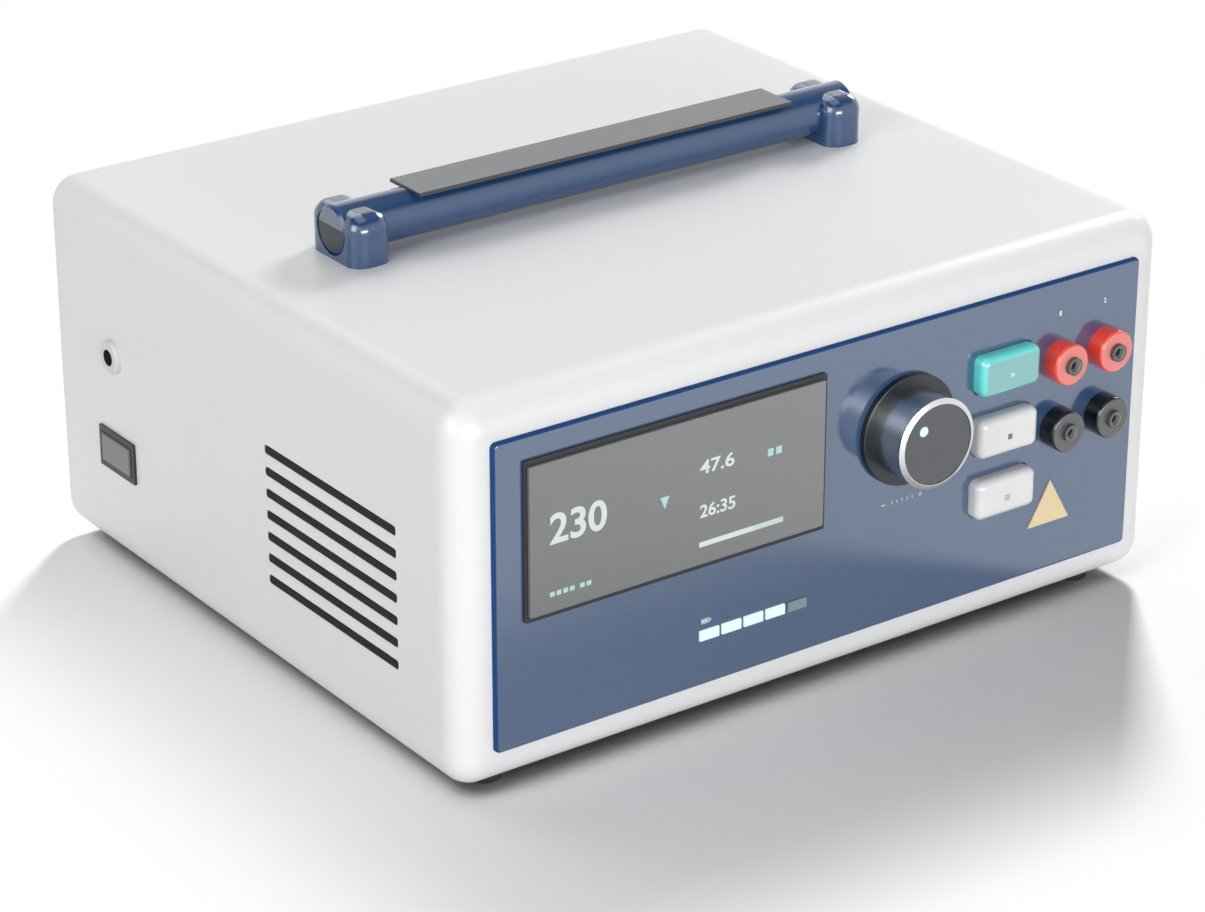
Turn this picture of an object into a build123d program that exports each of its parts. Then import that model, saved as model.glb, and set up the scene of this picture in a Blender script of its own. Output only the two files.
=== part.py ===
# Bench power supply for gel electrophoresis: a moulded case with a blue front panel,
# colour display, setting knob, three keys, four 4 mm output sockets and a carrying bar.
# X runs to the right seen from the front, the front looks towards -Y and Z is up.
# The origin is under the middle of the whole outline, on the surface that the feet stand on.
from build123d import *
from math import cos, radians, sin, sqrt
import os

# Case
CASE_WIDTH = 300.0
CASE_DEPTH = 265.8
CASE_HEIGHT = 136.5
CASE_EDGE_RADIUS = 10.7
CASE_WALL = 3.0
SHEET = 1.5
PLATE_CORNER = 5.0
PLATE_GAP = 0.2

# Screws, one size for the covers and one for the boards
SCREW_RADIUS = 1.4
SCREW_FIT = 0.05
SCREW_LENGTH = 10.0
SCREW_HEAD_RADIUS = 2.9
SCREW_HEAD_HEIGHT = 1.7
SCREW_PASS = 0.3
SHORT_SCREW_LENGTH = 6.0
BOSS_RADIUS = 5.0
BOSS_HEIGHT = 13.0
BOSS_RIB = 2.0

# Base plate and feet
BASE_MARGIN = 13.0
BASE_LEDGE = 15.0
FOOT_RADIUS = 7.0
FOOT_TIP_RADIUS = 6.0
FOOT_HEIGHT = 4.9
FOOT_INSET_X = 21.0
FOOT_INSET_Y = 17.2
FOOT_SEAT = 1.1

# Rear panel and its fan grille
REAR_SIDE_MARGIN = 18.0
REAR_TOP_MARGIN = 14.0
REAR_LEDGE = 8.0
REAR_SCREW_INSET = 4.5
REAR_BOSS_RADIUS = 3.5
REAR_BOSS_LENGTH = 10.0
GRILLE_SLOT = 3.6
GRILLE_PITCH = 6.4
GRILLE_SLOTS = 9

# Front panel
PANEL_WIDTH = 273.4
PANEL_MARGIN = 13.3
PANEL_PROUD = 2.0
PANEL_STEP = 1.5
PANEL_EDGE_RADIUS = 1.2
PANEL_CORNER = 2.0
PANEL_LEDGE = 6.5
PANEL_FIT = 0.3
HOOK_WIDTH = 12.0
HOOK_LEG = 1.5
HOOK_LIP = 1.0
HOOK_GAP = 0.2
HOOK_SPREAD = 96.0

# Control board behind the front panel, on posts of the panel
BOARD = 1.6
POST_LENGTH = 12.0
POST_RADIUS = 3.0
CONTROL_LEFT = -126.0
CONTROL_RIGHT = 95.0
CONTROL_BOTTOM = 22.0
CONTROL_DROP = 9.2
CONTROL_TAB_RIGHT = 106.0
CONTROL_TAB_TOP = 55.0
POST_LEFT_X = -122.0
POST_MIDDLE_X = 8.0
POST_RIGHT_X = 91.0
POST_LOW_Z = 27.0
POST_UNDER_DISPLAY = 4.85
POST_DROP = 14.2

# Display
DISPLAY_X = -64.7
DISPLAY_DROP = 36.8
BEZEL_WIDTH = 122.3
BEZEL_HEIGHT = 57.0
BEZEL_PROUD = 1.0
BEZEL_LIP = 4.0
BEZEL_COLLAR = 1.2
BEZEL_CORNER = 0.8
GLASS_WIDTH = 119.5
GLASS_HEIGHT = 53.0
GLASS_PROUD = 2.1
GLASS_THICKNESS = 1.6
GLASS_GAP = 0.1
LCD_BODY = 5.5
LCD_MARGIN = 2.0

# Battery level bars and the triangular indicator lens
BAR_WIDTH = 7.9
BAR_HEIGHT = 3.6
BAR_PROUD = 0.6
BAR_PITCH = 9.27
BAR_FIRST_X = -50.9
BAR_Z = 32.1
BAR_COUNT = 5
BAR_FLANGE = 0.55
BAR_FLANGE_THICKNESS = 1.0
PIPE_WIDTH = 5.0
PIPE_HEIGHT = 2.5
LIGHT_GAP = 0.3
LENS_SIDE = 18.9
LENS_X = 98.9
LENS_BASE_Z = 31.7
LENS_PROUD = 0.5
LENS_STEM_RADIUS = 3.5
TRIM_FIT = 0.1

# Keys
KEY_WIDTH = 26.5
KEY_HEIGHT = 14.7
KEY_PROUD = 5.5
KEY_RADIUS = 3.0
KEY_X = 74.8
KEY_DROP = 26.3
KEY_PITCH = 23.15
KEY_GAP = 0.35
KEY_FLANGE = 1.2
KEY_FLANGE_THICKNESS = 1.2
KEY_REST_GAP = 0.15
KEY_STEM_RADIUS = 3.0
KEY_TRAVEL = 1.5
SWITCH_SIZE = 12.0
SWITCH_HEIGHT = 7.0
SWITCH_WELL = 4.0
SWITCH_FIT = 0.3
STEM_ENTRY = 2.0

# Setting knob on its encoder
KNOB_X = 32.0
KNOB_DROP = 37.9
KNOB_DEPTH = 16.9
SKIRT_RADIUS = 20.0
SKIRT_FRONT = 2.4
SKIRT_GAP = 0.15
SKIRT_EDGE = 0.35
SKIRT_BORE = 7.0
KNOB_BASE_RADIUS = 15.9
KNOB_WAIST_RADIUS = 15.5
KNOB_RING_RADIUS = 16.3
KNOB_RING_DEPTH = 2.4
KNOB_BEVEL_DEPTH = 0.8
KNOB_LIP = 0.25
KNOB_HOLLOW_RADIUS = 6.6
KNOB_HOLLOW_DEPTH = 6.5
CAP_RADIUS = 14.4
CAP_THICKNESS = 0.9
CAP_SUNK = 0.3
DOT_RADIUS = 1.8
DOT_REACH = 8.65
DOT_ANGLE = 135.0
DOT_THICKNESS = 0.5
SHAFT_RADIUS = 3.0
SHAFT_FIT = 0.05
SHAFT_FLAT = 0.6
SHAFT_END = 13.0
ENCODER_WIDTH = 14.0
ENCODER_HEIGHT = 12.0
BUSH_RADIUS = 3.5
BUSH_LENGTH = 4.0
ENCODER_BORE_END = 10.0
ENCODER_NUT_RADIUS = 5.7
ENCODER_NUT_HEIGHT = 2.0

# Output sockets
SOCKET_LEFT_X = 100.7
SOCKET_PITCH_X = 20.6
SOCKET_RISE = 25.25
SOCKET_PITCH_Z = 25.2
COLLAR_RADIUS = 7.6
COLLAR_PROUD = 7.0
COLLAR_EDGE = 1.0
NECK_RADIUS = 4.8
NECK_END = 9.5
SOCKET_NUT_RADIUS = 6.9
SOCKET_NUT_HEIGHT = 3.0
CORE_RADIUS = 3.2
CORE_PROUD = 1.5
CORE_MOUTH = 2.0
CORE_END = 12.0
PLUG_BORE_RADIUS = 2.0
MOUTH_RADIUS = 2.2
CONTACT_RADIUS = 2.6
CONTACT_CAP = 3.0
LUG_RADIUS = 1.2
LUG_LENGTH = 4.0

# Carrying bar on the top
BAR_RADIUS = 8.8
BAR_AXIS = 10.35
BAR_TUBE_WALL = 1.5
BAR_FLAT = 0.65
BLOCK_INSET = 47.5
BLOCK_WIDTH = 16.0
BLOCK_DEPTH = 30.0
BLOCK_HEIGHT = 18.0
BLOCK_RADIUS = 6.0
BLOCK_SCREW_Y = 11.5
SADDLE_FIT = 0.05
PLUG_FLANGE = 1.5
PLUG_BEVEL = 1.0
PLUG_SPIGOT = 6.0
PAD_END_GAP = 14.0
PAD_WIDTH = 18.7
PAD_THICKNESS = 1.3
PAD_EDGE = 0.3

# Air louvre in the left side
VENT_LENGTH = 80.5
VENT_HEIGHT = 3.4
VENT_PITCH = 8.08
VENT_COUNT = 7
VENT_INSET = 75.05
VENT_TOP_Z = 82.9
VENT_CORNER = 1.0
BLADE_END_GAP = 0.25
BLADE_AIR_GAP = 0.5
BLADE_FIT = 0.1
RAIL_WIDTH = 5.0
RAIL_THICKNESS = 2.0

# Power rocker in the left side
ROCKER_INSET = 47.8
ROCKER_Z = 43.1
ROCKER_FLANGE_LENGTH = 24.6
ROCKER_FLANGE_HEIGHT = 15.7
ROCKER_FLANGE_PROUD = 1.0
PADDLE_LENGTH = 19.6
PADDLE_HEIGHT = 10.7
PADDLE_PROUD = 1.7
PADDLE_EDGE = 0.4
PADDLE_SIDE = 3.0
PADDLE_STEM = 5.0
PADDLE_STEM_WIDTH = 2.0
PADDLE_END_GAP = 0.6
PADDLE_SIDE_GAP = 0.35
PIVOT_DEPTH = 2.5
TRUNNION_RADIUS = 1.0
TRUNNION_FIT = 0.05
ROCKER_WALL = 1.0
ROCKER_DEPTH = 14.0
ROCKER_FLOOR = 4.0
ROCKER_FIT = 0.1

# Charging socket in the left side
JACK_INSET = 47.5
JACK_Z = 81.0
JACK_RING_RADIUS = 6.2
JACK_RING_PROUD = 2.4
JACK_RING_BEVEL = 0.7
JACK_HOLE_RADIUS = 2.95
JACK_BODY_RADIUS = 5.0
JACK_BODY_LENGTH = 15.0
JACK_CAVITY_END = 10.0
JACK_PIN_RADIUS = 1.05
JACK_PIN_TIP = 0.8
JACK_NUT_RADIUS = 7.0
JACK_NUT_HEIGHT = 2.5

# Cooling fan on the rear panel
FAN_INSET = 62.0
FAN_Z = 62.0
FAN_SIZE = 60.0
FAN_DEPTH = 20.0
FAN_BORE = 28.5
FAN_CORNER = 3.0
FAN_SCREW_OFFSET = 25.0
FAN_HUB_RADIUS = 11.0
FAN_PLATE = 3.0
FAN_STRUT = 4.0
FAN_POST_RADIUS = 3.5
FAN_POST_END = 5.5
ROTOR_RADIUS = 12.0
ROTOR_SHELL = 1.5
ROTOR_FRONT = 2.0
ROTOR_GAP = 0.6
ROTOR_SHAFT_RADIUS = 1.5
BLADE_COUNT = 7
BLADE_TIP_GAP = 0.9
BLADE_THICKNESS = 1.2
BLADE_CHORD_ROOT = 11.0
BLADE_CHORD_TIP = 15.0
BLADE_PITCH_ROOT = 48.0
BLADE_PITCH_TIP = 30.0
BLADE_DEPTH = 9.5

# Power board and what stands on it
SPACER_HEIGHT = 8.0
SPACER_RADIUS = 3.0
POWER_INSET = 77.0
POWER_WIDTH = 126.0
POWER_MARGIN = 24.9
POWER_HOLE_INSET = 5.0
SINK_SHIFT = -25.0
SINK_Y = -10.0
SINK_WIDTH = 40.0
SINK_LENGTH = 100.0
SINK_HEIGHT = 38.0
SINK_BASE = 5.0
SINK_FINS = 7
FIN_THICKNESS = 2.0
COIL_SHIFT = 28.0
COIL_Y = 48.0
CORE_WIDTH = 44.0
CORE_DEPTH = 22.0
CORE_HEIGHT = 40.0
CORE_LIMB = 7.0
WINDING_GAP = 0.5
WINDING_BULGE = 6.0
CAPACITOR_RADIUS = 9.0
CAPACITOR_HEIGHT = 30.0
CAPACITOR_SHIFT = 28.0
CAPACITOR_FIRST_Y = -72.0
CAPACITOR_PITCH = 24.0
CAPACITOR_COUNT = 3

# Battery pack and its bracket
PACK_INSET = 60.0
PACK_Y = -20.0
PACK_WIDTH = 76.0
PACK_DEPTH = 112.0
PACK_HEIGHT = 38.0
PACK_RADIUS = 9.2
BRACKET_WIDTH = 26.0
BRACKET_FOOT = 14.0
BRACKET_GAP = 0.3

# Places worked out from the sizes above
FRONT_Y = -CASE_DEPTH / 2
REAR_Y = CASE_DEPTH / 2
LEFT_X = -CASE_WIDTH / 2
VENT_Y = FRONT_Y + VENT_INSET
ROCKER_Y = REAR_Y - ROCKER_INSET
JACK_Y = REAR_Y - JACK_INSET
PANEL_Y = FRONT_Y - PANEL_PROUD
PANEL_BACK = PANEL_PROUD + PANEL_STEP
PANEL_Z = CASE_HEIGHT / 2
PANEL_HEIGHT = CASE_HEIGHT - 2 * PANEL_MARGIN
PANEL_TOP = CASE_HEIGHT - PANEL_MARGIN
DISPLAY_Z = PANEL_TOP - DISPLAY_DROP
KNOB_Z = PANEL_TOP - KNOB_DROP
KEY_TOP_Z = PANEL_TOP - KEY_DROP
SOCKET_TOP_Z = PANEL_Z + SOCKET_RISE
CONTROL_TOP = PANEL_TOP - CONTROL_DROP
POST_HALF_Z = DISPLAY_Z - BEZEL_HEIGHT / 2 - POST_UNDER_DISPLAY
POST_HIGH_Z = PANEL_TOP - POST_DROP
APERTURE_WIDTH = PANEL_WIDTH - 2 * PANEL_LEDGE
APERTURE_HEIGHT = PANEL_HEIGHT - 2 * PANEL_LEDGE
BOARD_FRONT = PANEL_BACK + POST_LENGTH
REAR_Z = CASE_HEIGHT / 2
REAR_WIDTH = CASE_WIDTH - 2 * REAR_SIDE_MARGIN
REAR_HEIGHT = CASE_HEIGHT - 2 * REAR_TOP_MARGIN
BASE_WIDTH = CASE_WIDTH - 2 * BASE_MARGIN
BASE_DEPTH = CASE_DEPTH - 2 * BASE_MARGIN
FOOT_X = CASE_WIDTH / 2 - FOOT_INSET_X
FOOT_Y = CASE_DEPTH / 2 - FOOT_INSET_Y
BLOCK_CENTRE_X = CASE_WIDTH / 2 - BLOCK_INSET
PAD_LENGTH = 2 * (BLOCK_CENTRE_X - BLOCK_WIDTH / 2 - PAD_END_GAP)
FAN_X = REAR_WIDTH / 2 - FAN_INSET
POWER_X = POWER_INSET - BASE_WIDTH / 2
POWER_DEPTH = BASE_DEPTH - 2 * POWER_MARGIN
PACK_X = BASE_WIDTH / 2 - PACK_INSET
PILOT_RADIUS = SCREW_RADIUS + SCREW_FIT
PASS_RADIUS = SCREW_RADIUS + SCREW_PASS
LEFT_REACH = max(JACK_RING_PROUD, PADDLE_PROUD)
FRONT_REACH = PANEL_PROUD + KNOB_DEPTH
REAR_REACH = SCREW_HEAD_HEIGHT
PLACE = Pos(LEFT_REACH / 2, (FRONT_REACH - REAR_REACH) / 2, FOOT_HEIGHT)

KEY_PLACES = {
    "start_button": KEY_TOP_Z,
    "stop_button": KEY_TOP_Z - KEY_PITCH,
    "mode_button": KEY_TOP_Z - 2 * KEY_PITCH,
}
SOCKET_PLACES = {
    "red_1": (SOCKET_LEFT_X, SOCKET_TOP_Z),
    "red_2": (SOCKET_LEFT_X + SOCKET_PITCH_X, SOCKET_TOP_Z),
    "black_1": (SOCKET_LEFT_X, SOCKET_TOP_Z - SOCKET_PITCH_Z),
    "black_2": (SOCKET_LEFT_X + SOCKET_PITCH_X, SOCKET_TOP_Z - SOCKET_PITCH_Z),
}
POST_PLACES = (
    (POST_LEFT_X, POST_LOW_Z),
    (POST_LEFT_X, POST_HALF_Z),
    (POST_MIDDLE_X, POST_LOW_Z),
    (POST_MIDDLE_X, POST_HIGH_Z),
    (POST_RIGHT_X, POST_LOW_Z),
    (POST_RIGHT_X, POST_HIGH_Z),
)
CORNERS = tuple((sx, sy) for sx in (-1, 1) for sy in (-1, 1))


# On the front, local z stands out towards the user, measured from the panel's face
def on_front(x, z, out=0.0):
    return Plane(origin=(x, PANEL_Y - out, z), x_dir=(1, 0, 0), z_dir=(0, -1, 0)).location


# On the left side, local x runs to the front and local z stands out of the case
def on_left(y, z, out=0.0):
    return Plane(origin=(LEFT_X - out, y, z), x_dir=(0, -1, 0), z_dir=(-1, 0, 0)).location


# On the rear, local z stands out of the rear face
def on_rear(x, z, out=0.0):
    return Plane(origin=(x, REAR_Y + out, z), x_dir=(-1, 0, 0), z_dir=(0, 1, 0)).location


# A block from local height low to high, with its upright corners rounded if asked
def block(width, height, low, high, corner=0.0):
    outline = RectangleRounded(width, height, corner) if corner > 0 else Rectangle(width, height)
    return Pos(0, 0, low) * extrude(outline, amount=high - low)


# A round bar from local height low to high
def rod(radius, low, high):
    return Pos(0, 0, low) * extrude(Circle(radius), amount=high - low)


# A round tube from local height low to high
def tube(radius, hole, low, high):
    return Pos(0, 0, low) * extrude(Circle(radius) - Circle(hole), amount=high - low)


# A solid of revolution from (radius, height) corners
def turned(points):
    profile = make_face(Polyline([(r, 0, h) for r, h in points], close=True))
    return revolve(profile, Axis.Z, 360)


def top_edges(solid):
    return solid.faces().sort_by(Axis.Z)[-1].edges()


# A pan-head screw whose head sits on local height 0 and whose shank points down
def screw(length):
    return rod(SCREW_HEAD_RADIUS, 0, SCREW_HEAD_HEIGHT) + rod(SCREW_RADIUS, -length, 0)


def group(shapes):
    return Compound([solid for shape in shapes for solid in shape.solids()])


def rounded_case(inset):
    box = Box(CASE_WIDTH - 2 * inset, CASE_DEPTH - 2 * inset, CASE_HEIGHT - 2 * inset)
    return Pos(0, 0, CASE_HEIGHT / 2) * fillet(box.edges(), CASE_EDGE_RADIUS - inset)


# Case
def vent_places():
    return [VENT_TOP_Z - i * VENT_PITCH for i in range(VENT_COUNT)]


def rear_screw_places():
    half_x = REAR_WIDTH / 2 - REAR_SCREW_INSET
    half_z = REAR_HEIGHT / 2 - REAR_SCREW_INSET
    return [(sx * half_x, REAR_Z + sz * half_z) for sx, sz in CORNERS]


def block_screw_places():
    return [(sx * BLOCK_CENTRE_X, sy * BLOCK_SCREW_Y) for sx, sy in CORNERS]


def case_bosses():
    bosses = []
    inner_x = CASE_WIDTH / 2 - CASE_WALL / 2
    for sx, sy in CORNERS:
        bosses.append(Pos(sx * FOOT_X, sy * FOOT_Y, 0) * rod(BOSS_RADIUS, SHEET, SHEET + BOSS_HEIGHT))
        rib = block(inner_x - FOOT_X, BOSS_RIB, 2 * CASE_WALL, BOSS_HEIGHT)
        bosses.append(Pos(sx * (inner_x + FOOT_X) / 2, sy * FOOT_Y, 0) * rib)
    for x, z in rear_screw_places():
        bosses.append(on_rear(x, z) * rod(REAR_BOSS_RADIUS, -CASE_WALL - REAR_BOSS_LENGTH, -SHEET))
    return bosses


def case_cuts():
    cuts = [on_front(0, PANEL_Z) * block(APERTURE_WIDTH, APERTURE_HEIGHT, -PANEL_PROUD - 2 * CASE_WALL, 0)]
    recess = block(REAR_WIDTH + 2 * PLATE_GAP, REAR_HEIGHT + 2 * PLATE_GAP, -SHEET, SHEET, PLATE_CORNER)
    cuts.append(on_rear(0, REAR_Z) * recess)
    opening = block(REAR_WIDTH - 2 * REAR_LEDGE, REAR_HEIGHT - 2 * REAR_LEDGE, -2 * CASE_WALL, 0)
    cuts.append(on_rear(0, REAR_Z) * opening)
    cuts.append(block(BASE_WIDTH + 2 * PLATE_GAP, BASE_DEPTH + 2 * PLATE_GAP, -SHEET, SHEET, PLATE_CORNER))
    cuts.append(block(BASE_WIDTH - 2 * BASE_LEDGE, BASE_DEPTH - 2 * BASE_LEDGE, -SHEET, 2 * CASE_WALL))
    slot = block(VENT_LENGTH, VENT_HEIGHT, -2 * CASE_WALL, CASE_WALL, VENT_CORNER)
    cuts += [on_left(VENT_Y, z) * slot for z in vent_places()]
    cuts.append(on_left(ROCKER_Y, ROCKER_Z) * rocker_body(ROCKER_FIT, -2 * CASE_WALL, CASE_WALL))
    cuts.append(on_left(JACK_Y, JACK_Z) * rod(JACK_BODY_RADIUS + TRIM_FIT, -2 * CASE_WALL, CASE_WALL))
    top_hole = rod(PASS_RADIUS, CASE_HEIGHT - 2 * CASE_WALL, CASE_HEIGHT + CASE_WALL)
    cuts += [Pos(x, y, 0) * top_hole for x, y in block_screw_places()]
    pilot = rod(PILOT_RADIUS, -SHEET, SHEET + BOSS_HEIGHT - CASE_WALL)
    cuts += [Pos(sx * FOOT_X, sy * FOOT_Y, 0) * pilot for sx, sy in CORNERS]
    rear_pilot = rod(PILOT_RADIUS, -CASE_WALL - REAR_BOSS_LENGTH, 0)
    cuts += [on_rear(x, z) * rear_pilot for x, z in rear_screw_places()]
    return cuts


def case_shell():
    shell = rounded_case(0) - rounded_case(CASE_WALL)
    shell = shell + case_bosses()
    return shell - case_cuts()


def base_plate():
    plate = block(BASE_WIDTH, BASE_DEPTH, 0, SHEET, PLATE_CORNER)
    hole = rod(PASS_RADIUS, -SHEET, 2 * SHEET)
    return plate - [Pos(sx * FOOT_X, sy * FOOT_Y, 0) * hole for sx, sy in CORNERS]


def foot():
    head_pocket = SCREW_HEAD_RADIUS + SCREW_PASS
    return turned([
        (PASS_RADIUS, 0),
        (FOOT_RADIUS, 0),
        (FOOT_TIP_RADIUS, -FOOT_HEIGHT),
        (head_pocket, -FOOT_HEIGHT),
        (head_pocket, -FOOT_SEAT),
        (PASS_RADIUS, -FOOT_SEAT),
    ])


def feet():
    return group(Pos(sx * FOOT_X, sy * FOOT_Y, 0) * foot() for sx, sy in CORNERS)


def rear_panel():
    plate = on_rear(0, REAR_Z) * block(REAR_WIDTH, REAR_HEIGHT, -SHEET, 0, PLATE_CORNER)
    cuts = [on_rear(x, z) * rod(PASS_RADIUS, -2 * SHEET, SHEET) for x, z in rear_screw_places()]
    cuts += [on_rear(x, z) * rod(PASS_RADIUS, -2 * SHEET, SHEET) for x, z in fan_screw_places()]
    for i in range(GRILLE_SLOTS):
        rise = (i - (GRILLE_SLOTS - 1) / 2) * GRILLE_PITCH
        length = 2 * sqrt(FAN_BORE ** 2 - (abs(rise) + GRILLE_SLOT / 2) ** 2)
        cuts.append(on_rear(FAN_X, FAN_Z + rise) * block(length, GRILLE_SLOT, -2 * SHEET, SHEET))
    return plate - cuts


def cover_screws():
    screws = []
    for sx, sy in CORNERS:
        screws.append(Pos(sx * FOOT_X, sy * FOOT_Y, -FOOT_SEAT) * Rot(180, 0, 0) * screw(SCREW_LENGTH))
    for x, z in rear_screw_places() + fan_screw_places():
        screws.append(on_rear(x, z) * screw(SCREW_LENGTH))
    return group(screws)


# Front panel
def panel_hooks():
    hooks = []
    wall_back = -PANEL_PROUD - CASE_WALL - HOOK_GAP
    reach = APERTURE_HEIGHT / 2 - PANEL_FIT
    for side in (-1, 1):
        for step in (-1, 0, 1):
            leg = block(HOOK_WIDTH, HOOK_LEG, wall_back - HOOK_LEG, -PANEL_BACK)
            lip = block(HOOK_WIDTH, HOOK_LEG + HOOK_LIP + PANEL_FIT, wall_back - HOOK_LEG, wall_back)
            leg_y = side * (reach - HOOK_LEG / 2)
            lip_y = leg_y + side * (HOOK_LIP + PANEL_FIT) / 2
            hook = Pos(0, leg_y, 0) * leg + Pos(0, lip_y, 0) * lip
            hooks.append(on_front(step * HOOK_SPREAD, PANEL_Z) * hook)
    return hooks


def panel_cuts():
    deep = -2 * PANEL_BACK
    out = PANEL_BACK
    window = block(BEZEL_WIDTH - 2 * BEZEL_LIP, BEZEL_HEIGHT - 2 * BEZEL_LIP, deep, out)
    cuts = [on_front(DISPLAY_X, DISPLAY_Z) * window]
    bar_hole = block(BAR_WIDTH + 2 * TRIM_FIT, BAR_HEIGHT + 2 * TRIM_FIT, deep, out)
    cuts += [on_front(x, BAR_Z) * bar_hole for x in bar_places()]
    cuts.append(on_front(LENS_X, lens_centre_z()) * rod(LENS_STEM_RADIUS + TRIM_FIT, deep, out))
    cuts.append(on_front(KNOB_X, KNOB_Z) * rod(BUSH_RADIUS + TRIM_FIT, deep, out))
    key_hole = block(KEY_WIDTH + 2 * KEY_GAP, KEY_HEIGHT + 2 * KEY_GAP, deep, out, KEY_RADIUS + KEY_GAP)
    cuts += [on_front(KEY_X, z) * key_hole for z in KEY_PLACES.values()]
    cuts += [on_front(x, z) * rod(NECK_RADIUS + TRIM_FIT, deep, out) for x, z in SOCKET_PLACES.values()]
    pilot = rod(PILOT_RADIUS, -BOARD_FRONT - BOARD, -PANEL_BACK)
    cuts += [on_front(x, z) * pilot for x, z in POST_PLACES]
    return cuts


def front_panel():
    face = block(PANEL_WIDTH, PANEL_HEIGHT, -PANEL_PROUD, 0, PANEL_CORNER)
    face = fillet(top_edges(face), PANEL_EDGE_RADIUS)
    step = block(APERTURE_WIDTH - 2 * PANEL_FIT, APERTURE_HEIGHT - 2 * PANEL_FIT, -PANEL_BACK, -PANEL_PROUD)
    panel = on_front(0, PANEL_Z) * (face + step)
    posts = [on_front(x, z) * rod(POST_RADIUS, -BOARD_FRONT, -PANEL_BACK) for x, z in POST_PLACES]
    panel = panel + posts + panel_hooks()
    return panel - panel_cuts()


# Control board
def control_board():
    width = CONTROL_RIGHT - CONTROL_LEFT
    height = CONTROL_TOP - CONTROL_BOTTOM
    tab_width = CONTROL_TAB_RIGHT - CONTROL_LEFT
    tab_height = CONTROL_TAB_TOP - CONTROL_BOTTOM
    main = on_front(CONTROL_LEFT + width / 2, CONTROL_BOTTOM + height / 2)
    tab = on_front(CONTROL_LEFT + tab_width / 2, CONTROL_BOTTOM + tab_height / 2)
    board = main * block(width, height, -BOARD_FRONT - BOARD, -BOARD_FRONT)
    board = board + tab * block(tab_width, tab_height, -BOARD_FRONT - BOARD, -BOARD_FRONT)
    hole = rod(PASS_RADIUS, -BOARD_FRONT - 2 * BOARD, 0)
    return board - [on_front(x, z) * hole for x, z in POST_PLACES]


def key_switches():
    body = block(SWITCH_SIZE, SWITCH_SIZE, -BOARD_FRONT, -BOARD_FRONT + SWITCH_HEIGHT)
    well = rod(KEY_STEM_RADIUS + SWITCH_FIT, -BOARD_FRONT + SWITCH_HEIGHT - SWITCH_WELL, 0)
    return group(on_front(KEY_X, z) * (body - well) for z in KEY_PLACES.values())


def board_screws():
    short = screw(SHORT_SCREW_LENGTH)
    behind = -BOARD_FRONT - BOARD
    screws = [on_front(x, z, behind) * Rot(180, 0, 0) * short for x, z in POST_PLACES]
    screws += [Pos(x, y, board_top()) * short for x, y in spacer_places()]
    return group(screws)


# Display
def display_bezel():
    flange = block(BEZEL_WIDTH, BEZEL_HEIGHT, 0, BEZEL_PROUD, BEZEL_CORNER)
    collar_width = BEZEL_WIDTH - 2 * BEZEL_LIP - 2 * TRIM_FIT
    collar_height = BEZEL_HEIGHT - 2 * BEZEL_LIP - 2 * TRIM_FIT
    collar = block(collar_width, collar_height, -PANEL_BACK, 0)
    opening_width = collar_width - 2 * BEZEL_COLLAR
    opening_height = collar_height - 2 * BEZEL_COLLAR
    opening = block(opening_width, opening_height, -2 * PANEL_BACK, PANEL_BACK)
    rebate_low = GLASS_PROUD - GLASS_THICKNESS
    rebate = block(GLASS_WIDTH + 2 * GLASS_GAP, GLASS_HEIGHT + 2 * GLASS_GAP, rebate_low, PANEL_BACK)
    return on_front(DISPLAY_X, DISPLAY_Z) * (flange + collar - opening - rebate)


def display_glass():
    glass = block(GLASS_WIDTH, GLASS_HEIGHT, GLASS_PROUD - GLASS_THICKNESS, GLASS_PROUD, BEZEL_CORNER / 2)
    return on_front(DISPLAY_X, DISPLAY_Z) * glass


def lcd_module():
    width = BEZEL_WIDTH - 2 * BEZEL_LIP + 2 * LCD_MARGIN
    height = BEZEL_HEIGHT - 2 * BEZEL_LIP + 2 * LCD_MARGIN
    body = block(width, height, -PANEL_BACK - LCD_BODY, -PANEL_BACK)
    inset = BEZEL_LIP + TRIM_FIT + BEZEL_COLLAR + PLATE_GAP
    face_top = GLASS_PROUD - GLASS_THICKNESS - PLATE_GAP
    face = block(BEZEL_WIDTH - 2 * inset, BEZEL_HEIGHT - 2 * inset, -PANEL_BACK, face_top)
    return on_front(DISPLAY_X, DISPLAY_Z) * (body + face)


# Battery level bars and indicator lens
def bar_places():
    return [BAR_FIRST_X + i * BAR_PITCH for i in range(BAR_COUNT)]


def level_bar(x):
    head = block(BAR_WIDTH, BAR_HEIGHT, -PANEL_BACK, BAR_PROUD)
    flange_width = BAR_WIDTH + 2 * BAR_FLANGE
    flange_height = BAR_HEIGHT + 2 * BAR_FLANGE
    flange = block(flange_width, flange_height, -PANEL_BACK - BAR_FLANGE_THICKNESS, -PANEL_BACK)
    pipe = block(PIPE_WIDTH, PIPE_HEIGHT, -BOARD_FRONT + LIGHT_GAP, -PANEL_BACK - BAR_FLANGE_THICKNESS)
    return on_front(x, BAR_Z) * (head + flange + pipe)


def lens_centre_z():
    return LENS_BASE_Z + LENS_SIDE * sqrt(3) / 6


def indicator_lens():
    head = extrude(Triangle(a=LENS_SIDE, b=LENS_SIDE, c=LENS_SIDE), amount=LENS_PROUD)
    centre = head.center()
    head = Pos(-centre.X, -centre.Y, 0) * head
    stem = rod(LENS_STEM_RADIUS, -BOARD_FRONT + LIGHT_GAP, 0)
    return on_front(LENS_X, lens_centre_z()) * (head + stem)


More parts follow.
